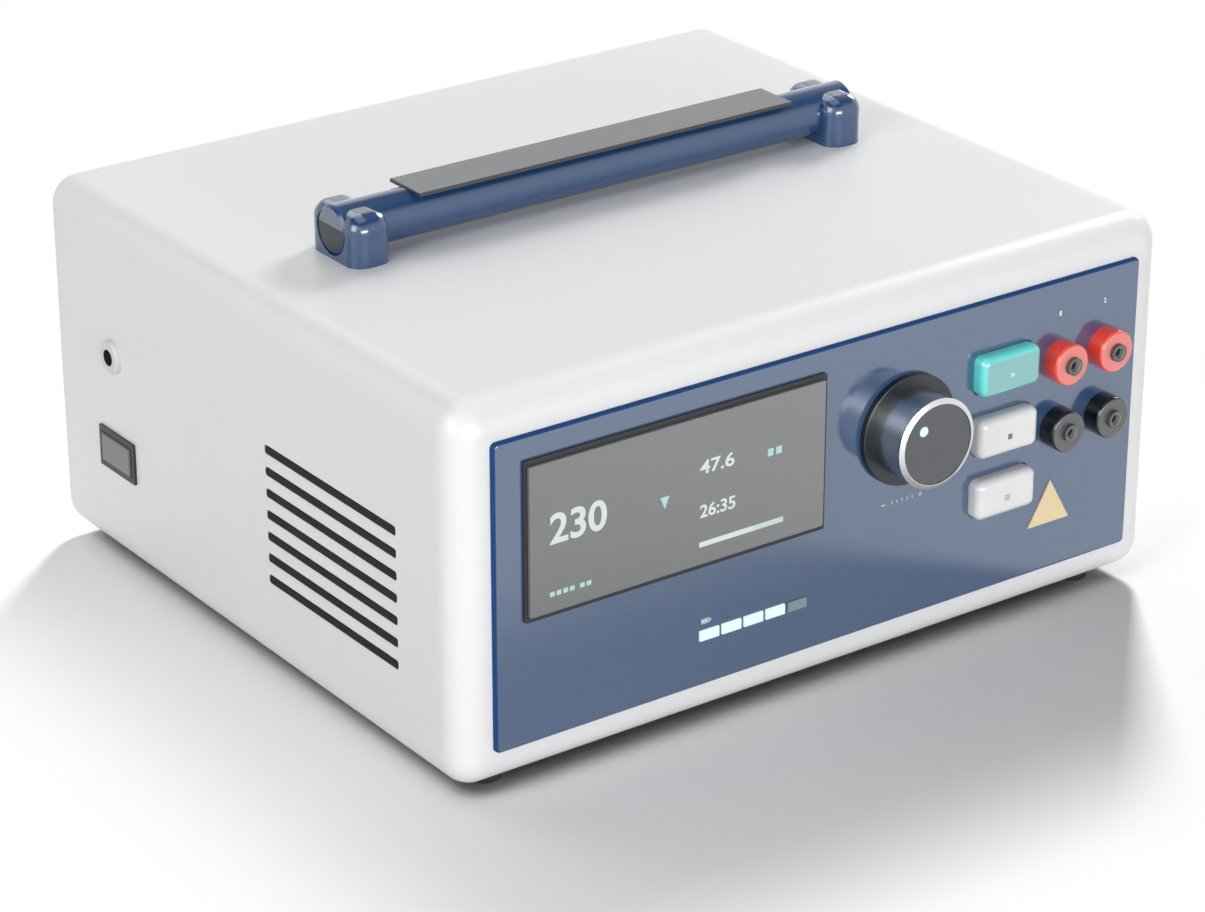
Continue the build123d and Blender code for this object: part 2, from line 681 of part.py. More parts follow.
# Keys
def key(z):
    cap = block(KEY_WIDTH, KEY_HEIGHT, -PANEL_BACK - KEY_REST_GAP, KEY_PROUD, KEY_RADIUS)
    cap = fillet(top_edges(cap), KEY_RADIUS - SCREW_FIT)
    flange_front = -PANEL_BACK - KEY_REST_GAP
    flange_back = flange_front - KEY_FLANGE_THICKNESS
    flange_width = KEY_WIDTH + 2 * KEY_FLANGE
    flange_height = KEY_HEIGHT + 2 * KEY_FLANGE
    flange = block(flange_width, flange_height, flange_back, flange_front, KEY_RADIUS + KEY_FLANGE)
    stem = rod(KEY_STEM_RADIUS, -BOARD_FRONT + SWITCH_HEIGHT - STEM_ENTRY, flange_back)
    return on_front(KEY_X, z) * (cap + flange + stem)


# Setting knob
def knob_skirt():
    skirt = turned([
        (SKIRT_BORE, SKIRT_GAP),
        (SKIRT_RADIUS, SKIRT_GAP),
        (SKIRT_RADIUS, SKIRT_FRONT),
        (SKIRT_BORE, SKIRT_FRONT),
    ])
    rim = skirt.edges().filter_by(GeomType.CIRCLE).group_by(Axis.Z)[-1].sort_by(SortBy.RADIUS)[-1]
    return on_front(KNOB_X, KNOB_Z) * fillet(rim, SKIRT_EDGE)


def knob_body():
    ring_back = KNOB_DEPTH - KNOB_RING_DEPTH
    ring_front = KNOB_DEPTH - KNOB_BEVEL_DEPTH
    seat = KNOB_DEPTH - CAP_SUNK - CAP_THICKNESS
    recess = CAP_RADIUS + TRIM_FIT
    bore = SHAFT_RADIUS + SHAFT_FIT
    body = turned([
        (KNOB_HOLLOW_RADIUS, SKIRT_FRONT),
        (KNOB_BASE_RADIUS, SKIRT_FRONT),
        (KNOB_WAIST_RADIUS, ring_back),
        (KNOB_RING_RADIUS, ring_front),
        (recess + KNOB_LIP, KNOB_DEPTH),
        (recess, KNOB_DEPTH),
        (recess, seat),
        (0, seat),
        (0, SHAFT_END + SHAFT_FIT),
        (bore, SHAFT_END + SHAFT_FIT),
        (bore, KNOB_HOLLOW_DEPTH),
        (KNOB_HOLLOW_RADIUS, KNOB_HOLLOW_DEPTH),
    ])
    key_flat = block(2 * bore, bore, KNOB_HOLLOW_DEPTH, SHAFT_END + SHAFT_FIT)
    flat = SHAFT_RADIUS - SHAFT_FLAT + SHAFT_FIT
    key_flat = Pos(0, flat + bore / 2, 0) * key_flat
    key_flat = key_flat & rod(bore + SHAFT_FIT, KNOB_HOLLOW_DEPTH, SHAFT_END + SHAFT_FIT)
    return on_front(KNOB_X, KNOB_Z) * (body + key_flat)


def dot_place():
    return Pos(DOT_REACH * cos(radians(DOT_ANGLE)), DOT_REACH * sin(radians(DOT_ANGLE)), 0)


def knob_cap():
    face = KNOB_DEPTH - CAP_SUNK
    cap = rod(CAP_RADIUS, face - CAP_THICKNESS, face)
    pocket = dot_place() * rod(DOT_RADIUS + SHAFT_FIT, face - DOT_THICKNESS, face + CAP_THICKNESS)
    return on_front(KNOB_X, KNOB_Z) * (cap - pocket)


def knob_dot():
    face = KNOB_DEPTH - CAP_SUNK
    return on_front(KNOB_X, KNOB_Z) * dot_place() * rod(DOT_RADIUS, face - DOT_THICKNESS, face)


def encoder_shaft():
    shaft = rod(SHAFT_RADIUS, -ENCODER_BORE_END + TRIM_FIT, SHAFT_END)
    flat = Pos(0, 2 * SHAFT_RADIUS - SHAFT_FLAT, 0) * block(
        2 * SHAFT_RADIUS, 2 * SHAFT_RADIUS, KNOB_HOLLOW_DEPTH - SHAFT_FLAT, SHAFT_END + SHAFT_FLAT)
    return on_front(KNOB_X, KNOB_Z) * (shaft - flat)


def encoder_body():
    body = block(ENCODER_WIDTH, ENCODER_HEIGHT, -BOARD_FRONT, -PANEL_BACK)
    bush = rod(BUSH_RADIUS, -PANEL_BACK, BUSH_LENGTH)
    bore = rod(SHAFT_RADIUS + SHAFT_FIT, -ENCODER_BORE_END, BUSH_LENGTH + SHAFT_RADIUS)
    return on_front(KNOB_X, KNOB_Z) * (body + bush - bore)


def encoder_nut():
    outline = RegularPolygon(ENCODER_NUT_RADIUS, 6) - Circle(BUSH_RADIUS + SHAFT_FIT)
    return on_front(KNOB_X, KNOB_Z) * extrude(outline, amount=ENCODER_NUT_HEIGHT)


# Output sockets
def socket_collar(x, z):
    bore = CORE_RADIUS + SHAFT_FIT
    head = tube(COLLAR_RADIUS, bore, 0, COLLAR_PROUD)
    rim = head.edges().filter_by(GeomType.CIRCLE).group_by(Axis.Z)[-1].sort_by(SortBy.RADIUS)[-1]
    head = fillet(rim, COLLAR_EDGE)
    return on_front(x, z) * (head + tube(NECK_RADIUS, bore, -NECK_END, 0))


def socket_core(x, z):
    seat = COLLAR_PROUD + CORE_PROUD - CORE_MOUTH
    core = rod(CORE_RADIUS, -CORE_END, COLLAR_PROUD + CORE_PROUD)
    cavity = rod(CONTACT_RADIUS + SHAFT_FIT, -CORE_END - CORE_MOUTH, seat)
    return on_front(x, z) * (core - cavity - rod(MOUTH_RADIUS, seat, COLLAR_PROUD + 2 * CORE_PROUD))


def socket_contact(x, z):
    seat = COLLAR_PROUD + CORE_PROUD - CORE_MOUTH
    body = rod(CONTACT_RADIUS, -CORE_END - CONTACT_CAP, seat)
    lug = rod(LUG_RADIUS, -CORE_END - CONTACT_CAP - LUG_LENGTH, -CORE_END - CONTACT_CAP)
    return on_front(x, z) * (body + lug - rod(PLUG_BORE_RADIUS, -CORE_END, seat + CORE_MOUTH))


def socket_nut(x, z):
    outline = RegularPolygon(SOCKET_NUT_RADIUS, 6) - Circle(NECK_RADIUS + SHAFT_FIT)
    return on_front(x, z, -PANEL_BACK - SOCKET_NUT_HEIGHT) * extrude(outline, amount=SOCKET_NUT_HEIGHT)


# Carrying bar
def along_bar(side=1):
    return Plane(origin=(0, 0, CASE_HEIGHT + BAR_AXIS), x_dir=(0, side, 0), z_dir=(side, 0, 0)).location


def bar_end():
    return BLOCK_CENTRE_X + BLOCK_WIDTH / 2 - PLUG_FLANGE


def handle_bar():
    bar = along_bar() * tube(BAR_RADIUS, BAR_RADIUS - BAR_TUBE_WALL, -bar_end(), bar_end())
    top = CASE_HEIGHT + BAR_AXIS + BAR_RADIUS
    return bar - Pos(0, 0, top) * block(PAD_LENGTH + 2 * PLATE_GAP, PAD_WIDTH, -BAR_FLAT, BAR_FLAT)


def handle_plug(side):
    spigot = BAR_RADIUS - BAR_TUBE_WALL - SADDLE_FIT
    end = bar_end()
    plug = turned([
        (0, end - PLUG_SPIGOT),
        (spigot, end - PLUG_SPIGOT),
        (spigot, end),
        (BAR_RADIUS, end),
        (BAR_RADIUS, end + PLUG_FLANGE - PLUG_BEVEL),
        (BAR_RADIUS - PLUG_BEVEL, end + PLUG_FLANGE),
        (0, end + PLUG_FLANGE),
    ])
    return along_bar(side) * plug


def handle_block(side):
    body = block(BLOCK_WIDTH, BLOCK_DEPTH, 0, BLOCK_HEIGHT)
    body = fillet(body.edges().filter_by(Axis.Z) + top_edges(body), BLOCK_RADIUS)
    body = Pos(side * BLOCK_CENTRE_X, 0, CASE_HEIGHT) * body
    saddle = along_bar() * rod(BAR_RADIUS + SADDLE_FIT, -CASE_WIDTH / 2, CASE_WIDTH / 2)
    pilot = rod(PILOT_RADIUS, -BLOCK_HEIGHT, SCREW_LENGTH - CASE_WALL + SCREW_PASS)
    pilots = [Pos(x, y, CASE_HEIGHT) * pilot for x, y in block_screw_places()]
    return body - saddle - pilots


def handle_screws():
    seat = CASE_HEIGHT - CASE_WALL
    return group(Pos(x, y, seat) * Rot(180, 0, 0) * screw(SCREW_LENGTH) for x, y in block_screw_places())


def grip_pad():
    low = CASE_HEIGHT + BAR_AXIS + BAR_RADIUS - BAR_FLAT
    pad = block(PAD_LENGTH, PAD_WIDTH, low, low + PAD_THICKNESS)
    return chamfer(top_edges(pad), PAD_EDGE)


# Air louvre: seven blades on two rails behind the wall
def vent_louvre():
    height = VENT_HEIGHT - BLADE_AIR_GAP - BLADE_FIT
    drop = (BLADE_FIT - BLADE_AIR_GAP) / 2
    back = CASE_WALL + BLADE_FIT + RAIL_THICKNESS
    length = VENT_LENGTH - 2 * BLADE_END_GAP
    blade = block(length, height, -back, 0, VENT_CORNER)
    louvre = [on_left(VENT_Y, z + drop) * blade for z in vent_places()]
    rail_height = (VENT_COUNT - 1) * VENT_PITCH + 2 * VENT_HEIGHT
    middle = VENT_TOP_Z - (VENT_COUNT - 1) * VENT_PITCH / 2
    rail = block(RAIL_WIDTH, rail_height, -back, -CASE_WALL - BLADE_FIT)
    offset = (length - RAIL_WIDTH) / 2
    rails = [on_left(VENT_Y + side * offset, middle) * rail for side in (-1, 1)]
    return rails[0] + rails[1:] + louvre


# Power rocker
def rocker_body(extra, low, high):
    length = PADDLE_LENGTH + 2 * PADDLE_END_GAP + 2 * ROCKER_WALL + 2 * extra
    height = PADDLE_HEIGHT + 2 * PADDLE_SIDE_GAP + 2 * ROCKER_WALL + 2 * extra
    return block(length, height, low, high)


def pivot():
    return Plane(origin=(0, 0, PADDLE_PROUD - PIVOT_DEPTH), x_dir=(1, 0, 0), z_dir=(0, 1, 0)).location


def rocker_housing():
    flange = block(ROCKER_FLANGE_LENGTH, ROCKER_FLANGE_HEIGHT, 0, ROCKER_FLANGE_PROUD, PADDLE_EDGE)
    window_length = PADDLE_LENGTH + 2 * PADDLE_END_GAP
    window_height = PADDLE_HEIGHT + 2 * PADDLE_SIDE_GAP
    window = block(window_length, window_height, -ROCKER_DEPTH + ROCKER_FLOOR, 2 * ROCKER_FLANGE_PROUD)
    reach = window_height / 2 + ROCKER_WALL
    holes = pivot() * rod(TRUNNION_RADIUS + TRUNNION_FIT, -reach, reach)
    return on_left(ROCKER_Y, ROCKER_Z) * (flange + rocker_body(0, -ROCKER_DEPTH, 0) - window - holes)


def rocker_paddle():
    half = PADDLE_LENGTH / 2
    side = PADDLE_PROUD - PADDLE_SIDE
    stem = side - PADDLE_STEM
    outline = make_face(Polyline([
        (-half, 0, side),
        (-half, 0, PADDLE_PROUD),
        (half, 0, PADDLE_PROUD),
        (half, 0, side),
        (PADDLE_STEM_WIDTH / 2, 0, stem),
        (-PADDLE_STEM_WIDTH / 2, 0, stem),
    ], close=True))
    paddle = extrude(outline, amount=PADDLE_HEIGHT / 2, both=True)
    paddle = chamfer(top_edges(paddle), PADDLE_EDGE)
    reach = PADDLE_HEIGHT / 2 + PADDLE_SIDE_GAP + ROCKER_WALL - TRUNNION_FIT
    return on_left(ROCKER_Y, ROCKER_Z) * (paddle + pivot() * rod(TRUNNION_RADIUS, -reach, reach))


# Charging socket
def jack_ring():
    return on_left(JACK_Y, JACK_Z) * turned([
        (JACK_HOLE_RADIUS, 0),
        (JACK_RING_RADIUS, 0),
        (JACK_RING_RADIUS, JACK_RING_PROUD - JACK_RING_BEVEL),
        (JACK_RING_RADIUS - JACK_RING_BEVEL, JACK_RING_PROUD),
        (JACK_HOLE_RADIUS, JACK_RING_PROUD),
    ])


def jack_body():
    body = rod(JACK_BODY_RADIUS, -JACK_BODY_LENGTH, 0)
    cavity = rod(JACK_HOLE_RADIUS, -JACK_CAVITY_END, CASE_WALL)
    pin_seat = rod(JACK_PIN_RADIUS + SHAFT_FIT, -2 * JACK_BODY_LENGTH, 0)
    return on_left(JACK_Y, JACK_Z) * (body - cavity - pin_seat)


def jack_pin():
    pin = rod(JACK_PIN_RADIUS, -JACK_BODY_LENGTH - JACK_PIN_TIP, -JACK_PIN_TIP)
    return on_left(JACK_Y, JACK_Z) * pin


def jack_nut():
    outline = RegularPolygon(JACK_NUT_RADIUS, 6) - Circle(JACK_BODY_RADIUS + SHAFT_FIT)
    seat = on_left(JACK_Y, JACK_Z, -CASE_WALL - JACK_NUT_HEIGHT)
    return seat * extrude(outline, amount=JACK_NUT_HEIGHT)


# Cooling fan, with local z = 0 on the inner face of the rear panel
def on_fan():
    return on_rear(FAN_X, FAN_Z, -SHEET)


def fan_screw_places():
    return [(FAN_X + sx * FAN_SCREW_OFFSET, FAN_Z + sz * FAN_SCREW_OFFSET) for sx, sz in CORNERS]


def fan_frame():
    frame = block(FAN_SIZE, FAN_SIZE, -FAN_DEPTH, 0, FAN_CORNER)
    hub = rod(FAN_HUB_RADIUS, -FAN_DEPTH, -FAN_DEPTH + FAN_PLATE)
    strut = block(2 * FAN_BORE + FAN_PLATE, FAN_STRUT, -FAN_DEPTH, -FAN_DEPTH + FAN_PLATE)
    post = rod(FAN_POST_RADIUS, -FAN_DEPTH, -FAN_POST_END)
    frame = frame - rod(FAN_BORE, -2 * FAN_DEPTH, FAN_DEPTH)
    frame = frame + [hub, post, Rot(0, 0, 45) * strut, Rot(0, 0, -45) * strut]
    cuts = [rod(ROTOR_SHAFT_RADIUS + SHAFT_FIT, -FAN_DEPTH + FAN_PLATE / 2, 0)]
    hole = rod(PILOT_RADIUS, -2 * FAN_DEPTH, FAN_DEPTH)
    cuts += [Pos(sx * FAN_SCREW_OFFSET, sy * FAN_SCREW_OFFSET, 0) * hole for sx, sy in CORNERS]
    return on_fan() * (frame - cuts)


# One blade section: a flat strip across the radius, pitched about it
def blade_section(radius, chord, pitch, middle):
    along = (0, cos(radians(pitch)), sin(radians(pitch)))
    plane = Plane(origin=(radius, 0, middle), x_dir=along, z_dir=(1, 0, 0))
    return plane * Rectangle(chord, BLADE_THICKNESS)


def fan_rotor():
    back = -FAN_DEPTH + FAN_PLATE + ROTOR_GAP
    middle = (back - ROTOR_FRONT) / 2
    cup = rod(ROTOR_RADIUS, back, -ROTOR_FRONT)
    cup = cup - rod(ROTOR_RADIUS - ROTOR_SHELL, 2 * back, -ROTOR_FRONT - ROTOR_SHELL)
    shaft = rod(ROTOR_SHAFT_RADIUS, -FAN_DEPTH + FAN_PLATE / 2 + ROTOR_GAP, -ROTOR_FRONT)
    root = ROTOR_RADIUS - ROTOR_SHELL / 2
    tip = FAN_BORE - BLADE_TIP_GAP
    blade = loft([
        blade_section(root, BLADE_CHORD_ROOT, BLADE_PITCH_ROOT, middle),
        blade_section(tip, BLADE_CHORD_TIP, BLADE_PITCH_TIP, middle),
    ])
    blade = blade & rod(tip, middle - BLADE_DEPTH / 2, middle + BLADE_DEPTH / 2)
    blades = [Rot(0, 0, i * 360 / BLADE_COUNT) * blade for i in range(BLADE_COUNT)]
    return on_fan() * (cup + shaft + blades)


# Power board
def spacer_places():
    half_x = POWER_WIDTH / 2 - POWER_HOLE_INSET
    half_y = POWER_DEPTH / 2 - POWER_HOLE_INSET
    return [(POWER_X + sx * half_x, sy * half_y) for sx, sy in CORNERS]


def board_top():
    return SHEET + SPACER_HEIGHT + BOARD


def board_spacers():
    spacer = tube(SPACER_RADIUS, PILOT_RADIUS, SHEET, SHEET + SPACER_HEIGHT)
    return group(Pos(x, y, 0) * spacer for x, y in spacer_places())


def power_board():
    board = Pos(POWER_X, 0, 0) * block(POWER_WIDTH, POWER_DEPTH, SHEET + SPACER_HEIGHT, board_top())
    return board - [Pos(x, y, 0) * rod(PASS_RADIUS, 0, 2 * board_top()) for x, y in spacer_places()]


def heat_sink():
    sink = block(SINK_WIDTH, SINK_LENGTH, 0, SINK_BASE)
    step = (SINK_WIDTH - FIN_THICKNESS) / (SINK_FINS - 1)
    for i in range(SINK_FINS):
        x = -SINK_WIDTH / 2 + FIN_THICKNESS / 2 + i * step
        sink = sink + Pos(x, 0, 0) * block(FIN_THICKNESS, SINK_LENGTH, SINK_BASE, SINK_HEIGHT)
    return Pos(POWER_X + SINK_SHIFT, SINK_Y, board_top()) * sink


def transformer():
    core = block(CORE_WIDTH, CORE_DEPTH, 0, CORE_HEIGHT)
    gap_width = (CORE_WIDTH - 4 * CORE_LIMB) / 2
    window = Pos(0, 0, CORE_LIMB) * block(gap_width, 2 * CORE_DEPTH, 0, CORE_HEIGHT - 2 * CORE_LIMB)
    offset = CORE_LIMB + gap_width / 2
    core = core - [Pos(side * offset, 0, 0) * window for side in (-1, 1)]
    outer_width = 2 * (CORE_LIMB + gap_width - WINDING_GAP)
    low = CORE_LIMB + WINDING_GAP
    high = CORE_HEIGHT - CORE_LIMB - WINDING_GAP
    winding = block(outer_width, CORE_DEPTH + 2 * WINDING_BULGE, low, high, WINDING_BULGE)
    limb_width = 2 * (CORE_LIMB + WINDING_GAP)
    winding = winding - block(limb_width, CORE_DEPTH + 2 * WINDING_GAP, 0, CORE_HEIGHT)
    place = Pos(POWER_X + COIL_SHIFT, COIL_Y, board_top())
    return group([place * core, place * winding])


def capacitors():
    places = [CAPACITOR_FIRST_Y + i * CAPACITOR_PITCH for i in range(CAPACITOR_COUNT)]
    top = board_top()
    x = POWER_X + CAPACITOR_SHIFT
    return group(Pos(x, y, 0) * rod(CAPACITOR_RADIUS, top, top + CAPACITOR_HEIGHT) for y in places)


# Battery pack
def battery_pack():
    pack = block(PACK_WIDTH, PACK_DEPTH, SHEET, SHEET + PACK_HEIGHT)
    pack = fillet(pack.edges().filter_by(Axis.Y), PACK_RADIUS)
    return Pos(PACK_X, PACK_Y, 0) * pack


def battery_bracket():
    half = PACK_DEPTH / 2 + BRACKET_GAP
    top = PACK_HEIGHT + BRACKET_GAP
    foot = half + SHEET + BRACKET_FOOT
    outside = [(foot, 0), (foot, SHEET), (half + SHEET, SHEET), (half + SHEET, top + SHEET)]
    inside = [(half, top), (half, 0)]
    corners = outside + [(-y, z) for y, z in reversed(outside)]
    corners += [(-y, z) for y, z in reversed(inside)] + inside
    outline = make_face(Polyline([(0, y, z) for y, z in corners], close=True))
    return Pos(PACK_X, PACK_Y, SHEET) * extrude(outline, amount=BRACKET_WIDTH / 2, both=True)


def save(name, shape):
    export_step(PLACE * shape, os.path.join("parts", name + ".step"))


def main():
    os.makedirs("parts", exist_ok=True)
    save("case_shell", case_shell())
    save("base_plate", base_plate())
    save("feet", feet())
    save("rear_panel", rear_panel())
    save("cover_screws", cover_screws())
    save("front_panel", front_panel())
    save("control_board", control_board())
    save("key_switches", key_switches())
    save("board_screws", board_screws())
    save("display_bezel", display_bezel())
    save("display_glass", display_glass())
    save("lcd_module", lcd_module())
    for number, x in enumerate(bar_places(), start=1):
        save("level_bar_" + str(number), level_bar(x))
    save("indicator_lens", indicator_lens())
    for name, z in KEY_PLACES.items():
        save(name, key(z))
    save("knob_skirt", knob_skirt())
    save("knob_body", knob_body())
    save("knob_cap", knob_cap())
    save("knob_dot", knob_dot())
    save("encoder_shaft", encoder_shaft())
    save("encoder_body", encoder_body())
    save("encoder_nut", encoder_nut())
    for name, (x, z) in SOCKET_PLACES.items():
        save("socket_collar_" + name, socket_collar(x, z))
        save("socket_core_" + name, socket_core(x, z))
    save("socket_contacts", group(socket_contact(x, z) for x, z in SOCKET_PLACES.values()))
    save("socket_nuts", group(socket_nut(x, z) for x, z in SOCKET_PLACES.values()))
    save("handle_bar", handle_bar())
    save("handle_plugs", group(handle_plug(side) for side in (-1, 1)))
    save("handle_block_left", handle_block(-1))
    save("handle_block_right", handle_block(1))
    save("handle_screws", handle_screws())
    save("grip_pad", grip_pad())
    save("vent_louvre", vent_louvre())
    save("rocker_housing", rocker_housing())
    save("rocker_paddle", rocker_paddle())
    save("jack_ring", jack_ring())
    save("jack_body", jack_body())
    save("jack_pin", jack_pin())
    save("jack_nut", jack_nut())
    save("fan_frame", fan_frame())
    save("fan_rotor", fan_rotor())
    save("board_spacers", board_spacers())
    save("power_board", power_board())
    save("heat_sink", heat_sink())
    save("transformer", transformer())
    save("capacitors", capacitors())
    save("battery_pack", battery_pack())
    save("battery_bracket", battery_bracket())


main()
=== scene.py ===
"""Looks of a portable gel electrophoresis power supply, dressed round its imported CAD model.

Prints are placed in millimetres, x to the right and z up, from the middle of the CAD node that
they belong to, and the frame's own boxes turn that into the metres that Blender uses. The lamps
and the floor of the studio are in metres.
"""

import logging
import math
from dataclasses import dataclass
from enum import Enum
from functools import reduce
from typing import Any, Iterable, Optional, Sequence, Union

import bpy
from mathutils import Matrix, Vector


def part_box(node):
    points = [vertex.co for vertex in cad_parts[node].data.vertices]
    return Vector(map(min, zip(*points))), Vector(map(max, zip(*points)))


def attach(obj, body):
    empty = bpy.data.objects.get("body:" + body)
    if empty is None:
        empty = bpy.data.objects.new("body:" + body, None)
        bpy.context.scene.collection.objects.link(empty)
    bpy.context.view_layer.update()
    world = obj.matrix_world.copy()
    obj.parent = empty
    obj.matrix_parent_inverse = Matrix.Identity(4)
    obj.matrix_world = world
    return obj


Triple = tuple[float, float, float]
Colour = Triple
Spot = tuple[float, float]
Outline = Sequence[Spot]
Value = Union[int, float, "Sock"]
Sockets = dict[Union[int, str], Any]

# One millimetre in metres.
MM = 0.001
# How far a print stands off its face, in millimetres.
PRINT = 0.02
# Width in millimetres over which one tone gives way to another.
TONE_EDGE = 0.15
# Share of full facing at which a surface counts as flat.
FLAT = 0.99
# The most that one part of a screen colour can be.
FULL = 255
# Points in each rounded corner, and in each curve of a figure.
CORNER_STEPS = 5
FIGURE_STEPS = 6
# Least radius of an outline's inner corners, in millimetres.
LEAST_RADIUS = 0.05
WHITE = (1.0, 1.0, 1.0)
RED_SOCKETS = ("red_1", "red_2")
BLACK_SOCKETS = ("black_1", "black_2")
log = logging.getLogger("power_supply")
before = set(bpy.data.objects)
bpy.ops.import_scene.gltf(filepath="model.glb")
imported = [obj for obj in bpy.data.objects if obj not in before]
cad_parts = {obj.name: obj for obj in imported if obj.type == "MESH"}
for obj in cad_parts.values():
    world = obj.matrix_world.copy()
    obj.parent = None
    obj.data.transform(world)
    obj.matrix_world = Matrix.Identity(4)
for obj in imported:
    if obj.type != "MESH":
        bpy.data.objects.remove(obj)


def linear(part: float) -> float:
    """Turn one part of a screen colour, from 0 to 1, into the linear one that shaders use."""
    knee, slope, offset, power = 0.04045, 12.92, 0.055, 2.4
    return part / slope if part <= knee else ((part + offset) / (1 + offset)) ** power


def srgb(red: float, green: float, blue: float) -> Colour:
    """Turn a screen colour into the linear one that shaders use.

    Args:
        red: Red from 0 to 255.
        green: Green from 0 to 255.
        blue: Blue from 0 to 255.

    Returns:
        The linear colour, each part from 0 to 1.
    """
    return (linear(red / FULL), linear(green / FULL), linear(blue / FULL))


def scaled(colour: Colour, factor: float) -> Colour:
    """Brighten or darken a colour by a factor, kept at or under 1."""
    red, green, blue = (min(part * factor, 1.0) for part in colour)
    return (red, green, blue)


class Sock:
    """A shader socket on which ordinary arithmetic writes Math nodes."""

    def __init__(self, sheet: "Sheet", socket: bpy.types.NodeSocket) -> None:
        """Wrap one output socket of a material's node sheet."""
        self.sheet = sheet
        self.socket = socket

    def _math(self, operation: str, first: Value, second: Value = 0.0) -> "Sock":
        """Write one Math node and return its result."""
        return self.sheet.result("ShaderNodeMath", {0: first, 1: second}, {"operation": operation})

    def __add__(self, other: Value) -> "Sock":
        """Add."""
        return self._math("ADD", self, other)

    def __radd__(self, other: Value) -> "Sock":
        """Add, with a plain number first."""
        return self._math("ADD", other, self)

    def __sub__(self, other: Value) -> "Sock":
        """Subtract."""
        return self._math("SUBTRACT", self, other)

    def __rsub__(self, other: Value) -> "Sock":
        """Subtract from a plain number."""
        return self._math("SUBTRACT", other, self)

    def __mul__(self, other: Value) -> "Sock":
        """Multiply."""
        return self._math("MULTIPLY", self, other)

    def __rmul__(self, other: Value) -> "Sock":
        """Multiply, with a plain number first."""
        return self._math("MULTIPLY", other, self)

    def __truediv__(self, other: Value) -> "Sock":
        """Divide."""
        return self._math("DIVIDE", self, other)

    def __rtruediv__(self, other: Value) -> "Sock":
        """Divide a plain number."""
        return self._math("DIVIDE", other, self)

    def __pow__(self, other: Value) -> "Sock":
        """Raise to a power."""
        return self._math("POWER", self, other)

    def __neg__(self) -> "Sock":
        """Change the sign."""
        return self._math("MULTIPLY", self, -1.0)

    def size(self) -> "Sock":
        """Its value without its sign."""
        return self._math("ABSOLUTE", self)

    def sine(self) -> "Sock":
        """The sine of it, in radians."""
        return self._math("SINE", self)

    def larger(self, other: Value) -> "Sock":
        """The larger of the two."""
        return self._math("MAXIMUM", self, other)

    def hypot(self, other: "Sock") -> "Sock":
        """The long side of a right triangle whose short sides these two are."""
        return (self * self + other * other) ** 0.5

    def past(self, low: float, high: float) -> "Sock":
        """How far it lies outside a span, and less than 0 inside."""
        return (self - (low + high) / 2).size() - (high - low) / 2

    def share(self, low: float, high: float) -> "Sock":
        """Its place in a span, 0 at the low end and 1 at the high one."""
        return (self - low) / (high - low)

    def swing(self, width: float) -> "Sock":
        """Noise, which is about 0.5 on average, as a swing of a given width about zero."""
        return (self - 0.5) * width

    def ease(self, low: float, high: float) -> "Sock":
        """Rise smoothly from 0 at low to 1 at high.

        Args:
            low: The value that gives 0.
            high: The value that gives 1.

        Returns:
            The eased value.
        """
        sockets = {"Value": self, "From Min": low, "From Max": high}
        node = self.sheet.node("ShaderNodeMapRange", {"interpolation_type": "SMOOTHSTEP"}, sockets)
        return self.sheet.out(node, "Result")


